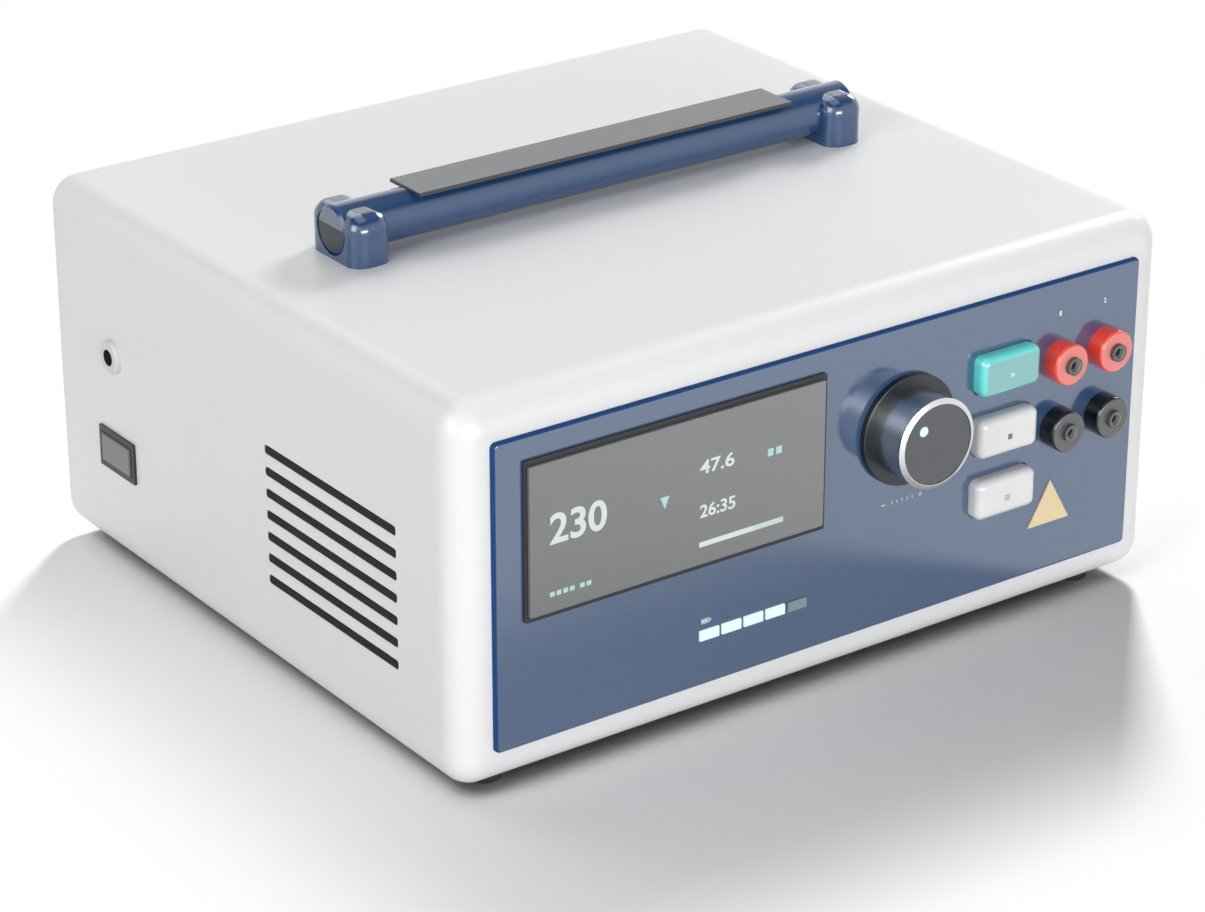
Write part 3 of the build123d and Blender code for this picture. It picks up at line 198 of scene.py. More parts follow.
class Sheet:
    """The node sheet of one material."""

    # Places of a colour Mix node's sockets.
    MIX_SHARE, MIX_FIRST, MIX_SECOND, MIX_RESULT = 0, 6, 7, 2

    def __init__(self, name: str) -> None:
        """Make a material with an empty sheet.

        Args:
            name: The material's name.
        """
        self.material = bpy.data.materials.new("finish_" + name)
        self.material.use_nodes = True
        self.tree = self.material.node_tree
        self.tree.nodes.clear()

    def node(
        self,
        kind: str,
        settings: Optional[dict[str, Any]] = None,
        sockets: Optional[Sockets] = None,
    ) -> bpy.types.Node:
        """Add a node, set its settings, then fill its sockets.

        Args:
            kind: The node's type name.
            settings: Its own settings.
            sockets: A value, colour or link for each input.

        Returns:
            The new node.
        """
        node = self.tree.nodes.new(kind)
        for name, value in (settings or {}).items():
            setattr(node, name, value)
        for name, value in (sockets or {}).items():
            self._fill(node.inputs[name], value)
        return node

    def _fill(self, target: bpy.types.NodeSocket, value: Any) -> None:
        """Link or set one input socket.

        Args:
            target: The input socket.
            value: A value, a colour or a link.
        """
        if isinstance(value, Sock):
            self.tree.links.new(value.socket, target)
        elif isinstance(value, tuple) and target.type == "RGBA":
            target.default_value = (*value, 1.0)
        else:
            target.default_value = value

    def out(self, node: bpy.types.Node, name: Union[int, str]) -> Sock:
        """One output of a node, wrapped for arithmetic."""
        return Sock(self, node.outputs[name])

    def result(self, kind: str, sockets: Sockets, settings: Optional[dict[str, Any]] = None) -> Sock:
        """Add a node and return its first output."""
        return self.out(self.node(kind, settings, sockets), 0)

    def place(self) -> Sock:
        """The point on the surface, in the part's own metres."""
        return self.out(self.node("ShaderNodeTexCoord"), "Object")

    def parts(self, vector: Sock) -> tuple[Sock, Sock, Sock]:
        """The x, y and z of a vector."""
        node = self.node("ShaderNodeSeparateXYZ", None, {0: vector})
        return self.out(node, 0), self.out(node, 1), self.out(node, 2)

    def facing(self) -> tuple[Sock, Sock, Sock]:
        """The x, y and z of the surface's normal."""
        return self.parts(self.out(self.node("ShaderNodeNewGeometry"), "Normal"))

    def frontal(self, start: float) -> Sock:
        """How squarely the surface faces the front: 0 up to the start, and 1 where it is flat."""
        return (-self.facing()[1]).ease(start, FLAT)

    def noise(self, size: float, detail: float = 2.0, stretch: Triple = (1.0, 1.0, 1.0)) -> Sock:
        """Cloudy noise.

        Args:
            size: Width of its features in millimetres.
            detail: How many finer layers it has.
            stretch: Scale of each axis, small for long streaks.

        Returns:
            Its value, about 0.5 on average.
        """
        moved = self.result("ShaderNodeMapping", {"Vector": self.place(), "Scale": stretch})
        sockets = {"Vector": moved, "Scale": 1 / (size * MM), "Detail": detail}
        return self.result("ShaderNodeTexNoise", sockets)

    def lines(self, along: Sock, size: float, detail: float) -> Sock:
        """Noise that changes only with one value, for turning and brushing marks.

        Args:
            along: The value in metres.
            size: Width of the marks in millimetres.
            detail: How many finer layers they have.

        Returns:
            Its value, about 0.5 on average.
        """
        sockets = {"W": along, "Scale": 1 / (size * MM), "Detail": detail}
        return self.result("ShaderNodeTexNoise", sockets, {"noise_dimensions": "1D"})

    def mix(self, share: Value, first: Any, second: Any) -> Sock:
        """Blend two colours.

        Args:
            share: How much of the second.
            first: Colour or socket at 0.
            second: Colour or socket at 1.

        Returns:
            The blended colour.
        """
        sockets = {self.MIX_SHARE: share, self.MIX_FIRST: first, self.MIX_SECOND: second}
        return self.out(self.node("ShaderNodeMix", {"data_type": "RGBA"}, sockets), self.MIX_RESULT)

    def shades(self, share: Value, colour: Colour, low: float, high: float) -> Sock:
        """Blend two shades of a colour, the one by the low factor at 0 and by the high one at 1."""
        return self.mix(share, scaled(colour, low), scaled(colour, high))

    def bump(self, height: Sock, depth: float) -> Sock:
        """A normal roughened by a height from 0 to 1, its real depth in millimetres."""
        return self.result("ShaderNodeBump", {"Distance": depth * MM, "Height": height})

    def ray(self, *kinds: str) -> Sock:
        """Tell one kind of ray from another.

        Args:
            kinds: Names of the light path's outputs, such as Is Camera Ray.

        Returns:
            1 for a ray of any of these kinds, and 0 for the rest.
        """
        path = self.node("ShaderNodeLightPath")
        return reduce(Sock.larger, [self.out(path, kind) for kind in kinds])

    def finish(self, sockets: Sockets) -> bpy.types.Material:
        """Close the sheet with one Principled surface.

        Args:
            sockets: The inputs of the Principled shader.

        Returns:
            The finished material.
        """
        surface = self.result("ShaderNodeBsdfPrincipled", sockets)
        self.node("ShaderNodeOutputMaterial", None, {"Surface": surface})
        return self.material


class WorldSheet(Sheet):
    """The node sheet of the world."""

    def __init__(self, name: str) -> None:
        """Make a world with an empty sheet, and use it.

        Args:
            name: The world's name.
        """
        world = bpy.data.worlds.new(name)
        world.use_nodes = True
        self.tree = world.node_tree
        self.tree.nodes.clear()
        bpy.context.scene.world = world


@dataclass(frozen=True)
class MouldedPlastic:
    """Plastic from a textured mould, with a faint cloudiness and a fine spark grain.

    The grain's width and depth are in millimetres. The face is a paler colour for flat faces to the
    front, a painted reflection of the floor in front of them, where one is given.
    """

    name: str
    colour: Colour
    roughness: float = 0.42
    grain: float = 0.45
    depth: float = 0.012
    cloud: float = 0.02
    coat: float = 0.0
    gloss: float = 0.5
    face: Optional[Colour] = None

    def build(self) -> bpy.types.Material:
        """Make the material.

        Returns:
            The finished material.
        """
        sheet = Sheet(self.name)
        cloud = sheet.noise(size=60.0)
        grain = sheet.noise(self.grain, detail=3.0)
        skin = sheet.shades(cloud, self.colour, low=1 - self.cloud, high=1 + self.cloud)
        # Painted reflection: flat faces to the front take the paler face colour.
        if self.face:
            front = sheet.shades(cloud, self.face, low=1 - self.cloud, high=1 + self.cloud)
            skin = sheet.mix(sheet.frontal(start=0.8), skin, front)
        return sheet.finish({
            "Base Color": skin,
            "Roughness": self.roughness + grain.swing(width=0.10) + cloud.swing(width=0.06),
            "Normal": sheet.bump(grain, self.depth),
            "Specular IOR Level": self.gloss,
            "Coat Weight": self.coat,
            "Coat Roughness": 0.06,
        })


@dataclass(frozen=True)
class EndPlug:
    """Plug in a tube's end: blue bevel, dark painted shade below a level line, pale painted light above.
    """

    name: str
    edge: Colour
    low: Colour
    high: Colour
    level: float
    roughness: float = 0.28

    def build(self) -> bpy.types.Material:
        """Make the material, its level in millimetres above the top of the case.

        Returns:
            The finished material.
        """
        sheet = Sheet(self.name)
        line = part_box("case_shell")[1][2] + self.level * MM
        _, _, z = sheet.parts(sheet.place())
        turned, _, _ = sheet.facing()
        flat = (turned * turned).ease(low=0.9, high=FLAT)
        grain = sheet.noise(size=0.6, detail=3.0)
        # Painted shade below the level line and painted light above it, on the plug's flat end.
        face = sheet.mix(z.ease(line - TONE_EDGE * MM, line + TONE_EDGE * MM), self.low, self.high)
        return sheet.finish({
            "Base Color": sheet.mix(flat, self.edge, face),
            "Roughness": self.roughness + grain.swing(width=0.1),
            "Normal": sheet.bump(grain, depth=0.004),
            "Coat Weight": 0.3,
            "Coat Roughness": 0.1,
        })


@dataclass(frozen=True)
class PanelPaint:
    """Deep blue paint under a clear satin lacquer, which mirrors the floor in front of it."""

    name: str
    colour: Colour
    bevel: Colour
    fleck: Colour = (0.5, 0.58, 0.7)
    flecks: float = 0.05
    roughness: float = 0.30
    bevel_roughness: float = 0.25

    def build(self) -> bpy.types.Material:
        """Make the material, with bare paint on the bevel round its flat face.

        Returns:
            The finished material.
        """
        sheet = Sheet(self.name)
        cloud = sheet.noise(size=80.0)
        grain = sheet.noise(size=0.35, detail=3.0)
        speck = sheet.noise(size=0.8, detail=1.0)
        paint = sheet.shades(cloud, self.colour, low=0.96, high=1.04)
        flat = sheet.frontal(start=0.86)
        flecked = sheet.mix(speck * self.flecks, paint, self.fleck)
        return sheet.finish({
            "Base Color": sheet.mix(flat, self.bevel, flecked),
            "Roughness": self.roughness + grain.swing(width=0.12) + self.bevel_roughness * (1 - flat),
            "Normal": sheet.bump(grain, depth=0.006),
            "Specular IOR Level": 0.1,
            "Coat Weight": flat,
            "Coat Roughness": 0.12,
            "Coat IOR": 2.2,
        })


@dataclass(frozen=True)
class TurnedMetal:
    """Metal turned on a lathe, with fine marks round its axis.

    The marks' width and depth are in millimetres. A painted highlight whitens the base colour:
    the painted streak is the side where it lies, as its x and z, the painted lip is how bright it
    is on the rounded front edge beside it, and the painted glint is its strength.
    """

    name: str
    colour: Colour
    node: str
    roughness: float = 0.22
    painted_glint: float = 0.0
    marks: float = 0.12
    depth: float = 0.004
    painted_streak: Spot = (-0.72, 0.69)
    painted_lip: float = 0.5

    def build(self) -> bpy.types.Material:
        """Make the material, its axis through the middle of the node's box along y.

        The turning marks vary its roughness round the axis. Its base colour is whitened on one side
        and on the lip round the front, a painted highlight in place of the streak that brushed metal
        shows.

        Returns:
            The finished material.
        """
        sheet = Sheet(self.name)
        low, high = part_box(self.node)
        x, y, z = sheet.parts(sheet.place())
        radius = (x - (low[0] + high[0]) / 2).hypot(z - (low[2] + high[2]) / 2)
        marks = sheet.lines(radius + y, self.marks, detail=3.0)
        film = sheet.noise(size=9.0)
        right, back, rise = sheet.facing()
        # Painted highlight: the base colour turns white on the side facing the painted streak and on the
        # front lip.
        painted_streak = (self.painted_streak[0] * right + self.painted_streak[1] * rise).ease(low=0.9, high=1.0)
        painted_lip = self.painted_lip * (-back).ease(low=0.1, high=0.5)
        lit = painted_streak.larger(painted_lip) * self.painted_glint
        return sheet.finish({
            "Base Color": sheet.mix(lit, sheet.shades(film, self.colour, low=0.94, high=1.05), WHITE),
            "Metallic": 1.0,
            "Roughness": self.roughness + marks.swing(width=0.14) + film.swing(width=0.05),
            "Normal": sheet.bump(marks, self.depth),
        })


class Axis(Enum):
    """An axis of the part, by its place in a point."""

    X = 0
    Y = 1


@dataclass(frozen=True)
class BoredPlastic:
    """Moulded plastic whose bore wall takes a painted tone: painted light where pale, painted shade where
    dark.
    """

    name: str
    colour: Colour
    painted_bore: Colour
    nodes: tuple[str, ...]
    axis: Axis
    radius: float
    roughness: float = 0.36
    gloss: float = 0.4
    bore_roughness: float = 0.4

    def build(self) -> bpy.types.Material:
        """Make the material for one node, or for nodes at the corners of a rectangle.

        Returns:
            The finished material.
        """
        sheet = Sheet(self.name)
        boxes = [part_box(node) for node in self.nodes]
        away = []
        for axis, value in enumerate(sheet.parts(sheet.place())):
            if axis != self.axis.value:
                middles = [(low[axis] + high[axis]) / 2 for low, high in boxes]
                away.append(value.past(min(middles), max(middles)))
        # The wall of the bore takes the painted tone in place of the light it gets.
        painted_bore_share = 1 - away[0].hypot(away[1]).ease(self.radius * MM, (self.radius + TONE_EDGE) * MM)
        grain = sheet.noise(size=0.4, detail=3.0)
        skin = sheet.shades(sheet.noise(size=14.0), self.colour, low=0.94, high=1.05)
        return sheet.finish({
            "Base Color": sheet.mix(painted_bore_share, skin, self.painted_bore),
            "Roughness": self.roughness + grain.swing(width=0.1) + self.bore_roughness * painted_bore_share,
            "Normal": sheet.bump(grain, depth=0.004),
            "Specular IOR Level": self.gloss,
        })


@dataclass(frozen=True)
class RolledMetal:
    """Sheet or bar metal with rolling marks along x."""

    name: str
    colour: Colour
    roughness: float = 0.34
    streaks: Triple = (0.04, 1.0, 1.0)

    def build(self) -> bpy.types.Material:
        """Make the material.

        Returns:
            The finished material.
        """
        sheet = Sheet(self.name)
        marks = sheet.noise(size=0.25, detail=3.0, stretch=self.streaks)
        stain = sheet.noise(size=14.0, detail=3.0)
        return sheet.finish({
            "Base Color": sheet.shades(stain, self.colour, low=0.88, high=1.06),
            "Metallic": 1.0,
            "Roughness": self.roughness + marks.swing(width=0.2),
            "Normal": sheet.bump(marks, depth=0.006),
        })


@dataclass(frozen=True)
class PowderCoat:
    """Baked powder paint on sheet steel, with its orange-peel surface."""

    name: str
    colour: Colour
    roughness: float = 0.5

    def build(self) -> bpy.types.Material:
        """Make the material.

        Returns:
            The finished material.
        """
        sheet = Sheet(self.name)
        peel = sheet.noise(size=0.9)
        cloud = sheet.noise(size=45.0)
        return sheet.finish({
            "Base Color": sheet.shades(cloud, self.colour, low=0.97, high=1.03),
            "Roughness": self.roughness + peel.swing(width=0.15),
            "Normal": sheet.bump(peel, depth=0.03),
        })


@dataclass(frozen=True)
class Rubber:
    """Moulded rubber with a pebbled skin and a little dust, its sides darkened with painted shade."""

    name: str
    colour: Colour
    pebble: float = 0.7
    roughness: float = 0.62
    painted_side_shade: float = 1.0
    gloss: float = 0.5

    def build(self) -> bpy.types.Material:
        """Make the material.

        Returns:
            The finished material.
        """
        sheet = Sheet(self.name)
        sockets = {"Vector": sheet.place(), "Scale": 1 / (self.pebble * MM)}
        cells = sheet.out(sheet.node("ShaderNodeTexVoronoi", None, sockets), "Distance")
        dust = sheet.noise(size=18.0, detail=4.0)
        worn = sheet.shades(dust, self.colour, low=0.9, high=1.12)
        # Painted shade: faces that do not look up take the colour darkened by the painted side shade.
        upward = sheet.facing()[2].ease(low=0.6, high=0.95)
        return sheet.finish({
            "Base Color": sheet.mix(upward, scaled(self.colour, self.painted_side_shade), worn),
            "Roughness": self.roughness + dust.swing(width=0.2),
            "Normal": sheet.bump(cells, depth=0.02),
            "Specular IOR Level": self.gloss,
        })


@dataclass(frozen=True)
class Lit:
    """A light pipe or printed mark that glows by itself."""

    name: str
    colour: Colour
    glow: Colour
    strength: float = 1.0
    roughness: float = 0.3

    def build(self) -> bpy.types.Material:
        """Make the material.

        Returns:
            The finished material.
        """
        sheet = Sheet(self.name)
        patch = sheet.noise(size=3.0, detail=1.0)
        return sheet.finish({
            "Base Color": self.colour,
            "Roughness": self.roughness + patch.swing(width=0.1),
            "Emission Color": sheet.shades(patch, self.glow, low=0.96, high=1.0),
            "Emission Strength": self.strength,
        })


@dataclass(frozen=True)
class ScreenGlass:
    """Front glass of the display with a grey anti-glare film."""

    name: str
    low: Colour
    high: Colour
    roughness: float = 0.22

    def build(self) -> bpy.types.Material:
        """Make the material, a little paler towards the upper right as a painted reflection.

        Returns:
            The finished material.
        """
        sheet = Sheet(self.name)
        low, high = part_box("display_glass")
        x, _, z = sheet.parts(sheet.place())
        across = x.share(low[0], high[0])
        up = z.share(low[2], high[2])
        film = sheet.noise(size=0.12)
        return sheet.finish({
            # Painted reflection: the colour grows paler across and up the glass.
            "Base Color": sheet.mix((across + up) / 2, self.low, self.high),
            "Roughness": self.roughness + film.swing(width=0.08),
            "Normal": sheet.bump(film, depth=0.002),
            "Coat Weight": 0.3,
            "Coat Roughness": 0.08,
        })


@dataclass(frozen=True)
class CircuitBoard:
    """Solder-resist green with copper tracks showing through."""

    name: str
    colour: Colour
    track: float = 2.2
    waver: float = 0.6
    edge: Spot = (0.05, 0.12)
    shine: float = 1.9
    roughness: float = 0.35
    track_roughness: float = 0.1

    def build(self) -> bpy.types.Material:
        """Make the material.

        Returns:
            The finished material.
        """
        sheet = Sheet(self.name)
        sockets = {"Vector": sheet.place(), "Scale": 1 / (self.track * MM), "Randomness": self.waver}
        settings = {"feature": "DISTANCE_TO_EDGE"}
        edge = sheet.out(sheet.node("ShaderNodeTexVoronoi", settings, sockets), "Distance")
        track = 1 - edge.ease(*self.edge)
        return sheet.finish({
            "Base Color": sheet.shades(track, self.colour, low=1.0, high=self.shine),
            "Roughness": self.roughness + self.track_roughness * track,
            "Normal": sheet.bump(track, depth=0.03),
        })


@dataclass(frozen=True)
class WoundCopper:
    """Enamelled wire wound in close turns under varnish, round the z axis."""

    name: str
    colour: Colour
    wire: float = 0.8
    groove: float = 0.6
    roughness: float = 0.3
    groove_roughness: float = 0.1

    def build(self) -> bpy.types.Material:
        """Make the material.

        Returns:
            The finished material.
        """
        sheet = Sheet(self.name)
        _, _, z = sheet.parts(sheet.place())
        turns = ((z * (math.tau / (self.wire * MM))).sine() + 1) / 2
        return sheet.finish({
            "Base Color": sheet.shades(turns, self.colour, low=self.groove, high=1.0),
            "Roughness": self.roughness + self.groove_roughness * (1 - turns),
            "Normal": sheet.bump(turns, depth=0.15),
        })


class Finish(Enum):
    """Every finish of the power supply."""

    CASE = MouldedPlastic(
        "case_white", srgb(233, 233, 234),
        roughness=0.38, grain=0.5, depth=0.010, cloud=0.008,
    )
    PANEL = PanelPaint("panel_blue", srgb(44, 76, 116), bevel=srgb(30, 68, 120))
    BAR = MouldedPlastic(
        "bar_blue", srgb(28, 66, 110),
        roughness=0.2, grain=0.5, depth=0.001, coat=1.0, gloss=0.7,
    )
    # On the plug's end, low is painted shade and high is painted light.
    PLUG = EndPlug(
        "plug_blue",
        edge=srgb(30, 66, 118), low=srgb(20, 27, 42), high=srgb(112, 124, 142), level=12.0,
    )
    BEZEL = MouldedPlastic(
        "bezel_charcoal", srgb(38, 39, 41),
        roughness=0.4, grain=0.4, depth=0.008, cloud=0.03,
    )
    # From low to high the glass carries a painted reflection, paler towards the upper right.
    SCREEN = ScreenGlass("screen_grey", low=srgb(118, 120, 121), high=srgb(132, 134, 135))
    MODULE = MouldedPlastic("display_module", srgb(92, 94, 95), roughness=0.5)
    # The key's paler face colour is a painted reflection on its flat front.
    START = MouldedPlastic(
        "key_teal", srgb(110, 232, 230), face=srgb(130, 190, 190),
        roughness=0.3, grain=0.4, depth=0.004, cloud=0.01, coat=0.5, gloss=1.0,
    )
    KEY = MouldedPlastic(
        "key_pale", srgb(232, 232, 232),
        roughness=0.34, grain=0.4, depth=0.006, cloud=0.008, coat=0.3, gloss=1.0,
    )
    # The pink face colour is a painted reflection on the collars' flat fronts.
    RED = MouldedPlastic(
        "socket_red", srgb(255, 76, 58), face=srgb(236, 132, 126),
        roughness=0.24, grain=0.5, depth=0.003, coat=0.6, gloss=0.6,
    )
    # The grey face colour is a painted reflection on the collars' flat fronts.
    BLACK = MouldedPlastic(
        "socket_black", srgb(14, 15, 17), face=srgb(92, 93, 95),
        roughness=0.24, grain=0.5, depth=0.003, cloud=0.05, coat=0.5,
    )
    # The pale bore is painted light over the shade in the socket cores' bores.
    CORE = BoredPlastic(
        "socket_core_charcoal", srgb(66, 68, 69), painted_bore=srgb(170, 172, 174),
        nodes=tuple("socket_core_" + socket for socket in RED_SOCKETS + BLACK_SOCKETS),
        axis=Axis.Y, radius=2.25, roughness=0.4, gloss=1.0,
    )
    CONTACT = RolledMetal("contact_nickel", srgb(196, 198, 200), roughness=0.5)
    AMBER = MouldedPlastic(
        "lens_amber", srgb(236, 212, 166),
        roughness=0.35, grain=0.6, depth=0.004, cloud=0.01, coat=0.2, gloss=1.0,
    )
    LOUVRE = MouldedPlastic(
        "louvre_charcoal", srgb(37, 38, 39),
        roughness=0.7, grain=0.4, depth=0.01, cloud=0.04, gloss=0.15,
    )
    SWITCH = MouldedPlastic("switch_black", srgb(38, 39, 40), grain=0.4, depth=0.01, cloud=0.04)
    PADDLE = MouldedPlastic(
        "switch_paddle", srgb(108, 111, 113),
        roughness=0.3, grain=0.4, depth=0.006, coat=0.2,
    )
    # The knob carries a painted highlight on its side and its front lip.
    KNOB = TurnedMetal("knob_metal", srgb(184, 186, 189), "knob_body", roughness=0.24, painted_glint=1.0)
    CAP = TurnedMetal("knob_cap_dark", srgb(103, 105, 109), "knob_cap", roughness=0.36)
    SKIRT = TurnedMetal("knob_skirt_dark", srgb(76, 79, 82), "knob_skirt", roughness=0.34)
    # The dark bore is painted shade in the charging socket's hole.
    RING = BoredPlastic(
        "jack_ring_grey", srgb(214, 216, 218), painted_bore=srgb(40, 42, 43),
        nodes=("jack_ring",), axis=Axis.X, radius=3.0,
    )
    # The grip pad's sides are darkened with painted shade.
    GRIP = Rubber(
        "grip_grey", srgb(112, 114, 117),
        pebble=0.6, roughness=0.42, painted_side_shade=0.12, gloss=0.8,
    )
    FOOT = Rubber("foot_black", srgb(38, 38, 39))
    COVER = PowderCoat("cover_grey", srgb(206, 207, 209))
    STEEL = RolledMetal("steel", srgb(188, 190, 193))
    SINK = RolledMetal("sink_aluminium", srgb(200, 202, 205), roughness=0.42)
    BOARD = CircuitBoard("board_green", srgb(22, 84, 46))
    COPPER = WoundCopper("winding_copper", srgb(150, 84, 40))
    FAN = MouldedPlastic("fan_black", srgb(34, 34, 36), roughness=0.45)
    CAN = MouldedPlastic(
        "capacitor_sleeve", srgb(28, 36, 62),
        roughness=0.3, grain=1.0, depth=0.003, cloud=0.03, coat=0.4,
    )
    WRAP = MouldedPlastic(
        "battery_wrap", srgb(34, 76, 140),
        roughness=0.28, grain=2.5, depth=0.05, cloud=0.03, coat=0.5,
    )
    GLOW = Lit("level_bar_lit", srgb(40, 60, 60), glow=(0.80, 0.96, 0.95))
    DIM = Lit("level_bar_dim", srgb(116, 138, 140), glow=(0.10, 0.14, 0.15), strength=0.3)
    DOT = Lit("knob_dot_lit", srgb(40, 60, 60), glow=(0.78, 0.97, 0.95))
    FIGURES = Lit("screen_figures", srgb(120, 126, 126), glow=(0.84, 0.90, 0.89), strength=0.62)
    FIGURES_PALE = Lit("screen_pale", srgb(120, 130, 128), glow=(0.46, 0.56, 0.54), strength=0.85)
    MARKS = Lit("screen_marks", srgb(120, 150, 148), glow=(0.46, 0.66, 0.63), strength=0.6)
    PRINT_WHITE = MouldedPlastic("print_white", srgb(222, 226, 230), roughness=0.5)
    PRINT_GREY = MouldedPlastic("print_grey", srgb(120, 122, 124), roughness=0.5)

    @property
    def material(self) -> bpy.types.Material:
        """The finish's material, made the first time it is asked for."""
        known = bpy.data.materials.get("finish_" + self.value.name)
        return known if known else self.value.build()


@dataclass(frozen=True)
class Face:
    """A front face that prints lie on, with the middle that they are placed about, in metres."""

    middle_x: float
    middle_z: float
    front_y: float

    @classmethod
    def of(cls, node: str, about: Optional[str] = None) -> "Face":
        """Find the front of a CAD node.

        Args:
            node: The node that carries the prints.
            about: The node whose middle they are placed about, where that is another one.

        Returns:
            The face.
        """
        low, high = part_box(about or node)
        return cls((low[0] + high[0]) / 2, (low[2] + high[2]) / 2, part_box(node)[0][1])

    def point(self, x: float, z: float) -> Vector:
        """A point of a print on it, from millimetres about its middle."""
        return Vector((self.middle_x + x * MM, self.front_y - PRINT * MM, self.middle_z + z * MM))


def added(name: str, data: bpy.types.ID) -> bpy.types.Object:
    """Put a new object in the scene.

    Args:
        name: The object's name.
        data: Its mesh, curve, light or camera.

    Returns:
        The new object.
    """
    made = bpy.data.objects.new(name, data)
    bpy.context.scene.collection.objects.link(made)
    return made


def rounded(low: Spot, high: Spot, radius: float) -> list[Spot]:
    """Corners of a rectangle with rounded corners.

    Args:
        low: Lower left corner.
        high: Upper right corner.
        radius: Radius of its corners.

    Returns:
        The points, anticlockwise.
    """
    centres = (
        (high[0] - radius, high[1] - radius, 0),
        (low[0] + radius, high[1] - radius, 90),
        (low[0] + radius, low[1] + radius, 180),
        (high[0] - radius, low[1] + radius, 270),
    )
    points = []
    for x, z, start in centres:
        for step in range(CORNER_STEPS + 1):
            angle = math.radians(start + 90 * step / CORNER_STEPS)
            points.append((x + radius * math.cos(angle), z + radius * math.sin(angle)))
    return points


def ring(low: Spot, high: Spot, radius: float, line: float) -> list[Outline]:
    """A frame of even width along a rounded rectangle, as four-sided faces.

    Args:
        low: Lower left corner of its outer edge.
        high: Upper right corner of its outer edge.
        radius: Radius of its outer corners.
        line: Width of the frame.

    Returns:
        The faces.
    """
    inner_low = (low[0] + line, low[1] + line)
    inner_high = (high[0] - line, high[1] - line)
    inner = rounded(inner_low, inner_high, max(radius - line, LEAST_RADIUS))
    pairs = list(zip(rounded(low, high, radius), inner))
    return [[here[0], after[0], after[1], here[1]] for here, after in zip(pairs, pairs[1:] + pairs[:1])]


@dataclass(frozen=True)
class Blocks:
    """Equal blocks with rounded corners, one at each left edge on each lower edge."""

    lefts: tuple[float, ...]
    lows: tuple[float, ...]
    width: float
    height: float
    corner: float

    def outlines(self) -> list[Outline]:
        """Corners of each block.

        Returns:
            One outline for each block, in millimetres.
        """
        spots = [(left, low) for low in self.lows for left in self.lefts]
        return [rounded((x, z), (x + self.width, z + self.height), self.corner) for x, z in spots]


@dataclass(frozen=True)
class Figures:
    """Figures that fill a rectangle, given by its lower left and upper right corners."""

    name: str
    words: str
    low: Spot
    high: Spot


@dataclass
class Assembly:
    """A group of pieces that belong together."""

    def dress(self, finish: Finish, *nodes: str) -> None:
        """Give CAD nodes a finish.

        Args:
            finish: The finish.
            nodes: The nodes' names.
        """
        for name in nodes:
            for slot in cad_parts[name].material_slots:
                slot.material = finish.material
        log.info("%s on %s", finish.value.name, ", ".join(nodes))

    def piece(self, mesh: bpy.types.Mesh, finish: Finish, body: str, slot: str) -> None:
        """Add a piece made here, under its mesh's name.

        Args:
            mesh: Its mesh, in the frame's metres.
            finish: Its finish.
            body: The CAD body that carries it.
            slot: Not used.
        """
        mesh.materials.clear()
        mesh.materials.append(finish.material)
        made = added(mesh.name, mesh)
        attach(made, body)
        log.info("made %s", mesh.name)

    def printed(self, name: str, outlines: Iterable[Outline], face: Face) -> bpy.types.Mesh:
        """Flat shapes printed on a face.

        Args:
            name: The mesh's name.
            outlines: Corners of each shape.
            face: The face.

        Returns:
            The mesh.
        """
        points: list[Vector] = []
        faces: list[list[int]] = []
        for outline in outlines:
            faces.append(list(range(len(points), len(points) + len(outline))))
            points += [face.point(x, z) for x, z in outline]
        mesh = bpy.data.meshes.new(name)
        mesh.from_pydata(points, [], faces)
        return mesh

    def lettered(self, figures: Figures, face: Face, weight: float) -> bpy.types.Mesh:
        """Figures set on a face.

        Args:
            figures: The figures and the rectangle that they fill.
            face: The face.
            weight: How much bolder than plain, as a share of their height.

        Returns:
            The mesh.
        """
        curve = bpy.data.curves.new(figures.name, "FONT")
        curve.body = figures.words
        curve.offset = weight
        curve.resolution_u = FIGURE_STEPS
        carrier = added(figures.name + "_type", curve)
        bpy.context.view_layer.update()
        mesh = bpy.data.meshes.new_from_object(carrier)
        bpy.data.objects.remove(carrier)
        bpy.data.curves.remove(curve)
        xs = [vertex.co.x for vertex in mesh.vertices]
        ys = [vertex.co.y for vertex in mesh.vertices]
        left, low = min(xs), min(ys)
        across = (figures.high[0] - figures.low[0]) / (max(xs) - left)
        up = (figures.high[1] - figures.low[1]) / (max(ys) - low)
        for vertex in mesh.vertices:
            x = figures.low[0] + (vertex.co.x - left) * across
            z = figures.low[1] + (vertex.co.y - low) * up
            vertex.co = face.point(x, z)
        mesh.name = figures.name
        return mesh


@dataclass
class Case(Assembly):
    """The moulded shell with its base, rear cover and feet."""

    def make(self) -> None:
        """Dress the case and the fastenings of its covers."""
        self.dress(Finish.CASE, "case_shell")
        self.dress(Finish.COVER, "base_plate", "rear_panel")
        self.dress(Finish.FOOT, "feet")
        self.dress(Finish.STEEL, "cover_screws", "handle_screws", "board_screws")
        self.dress(Finish.STEEL, "socket_nuts", "encoder_nut")


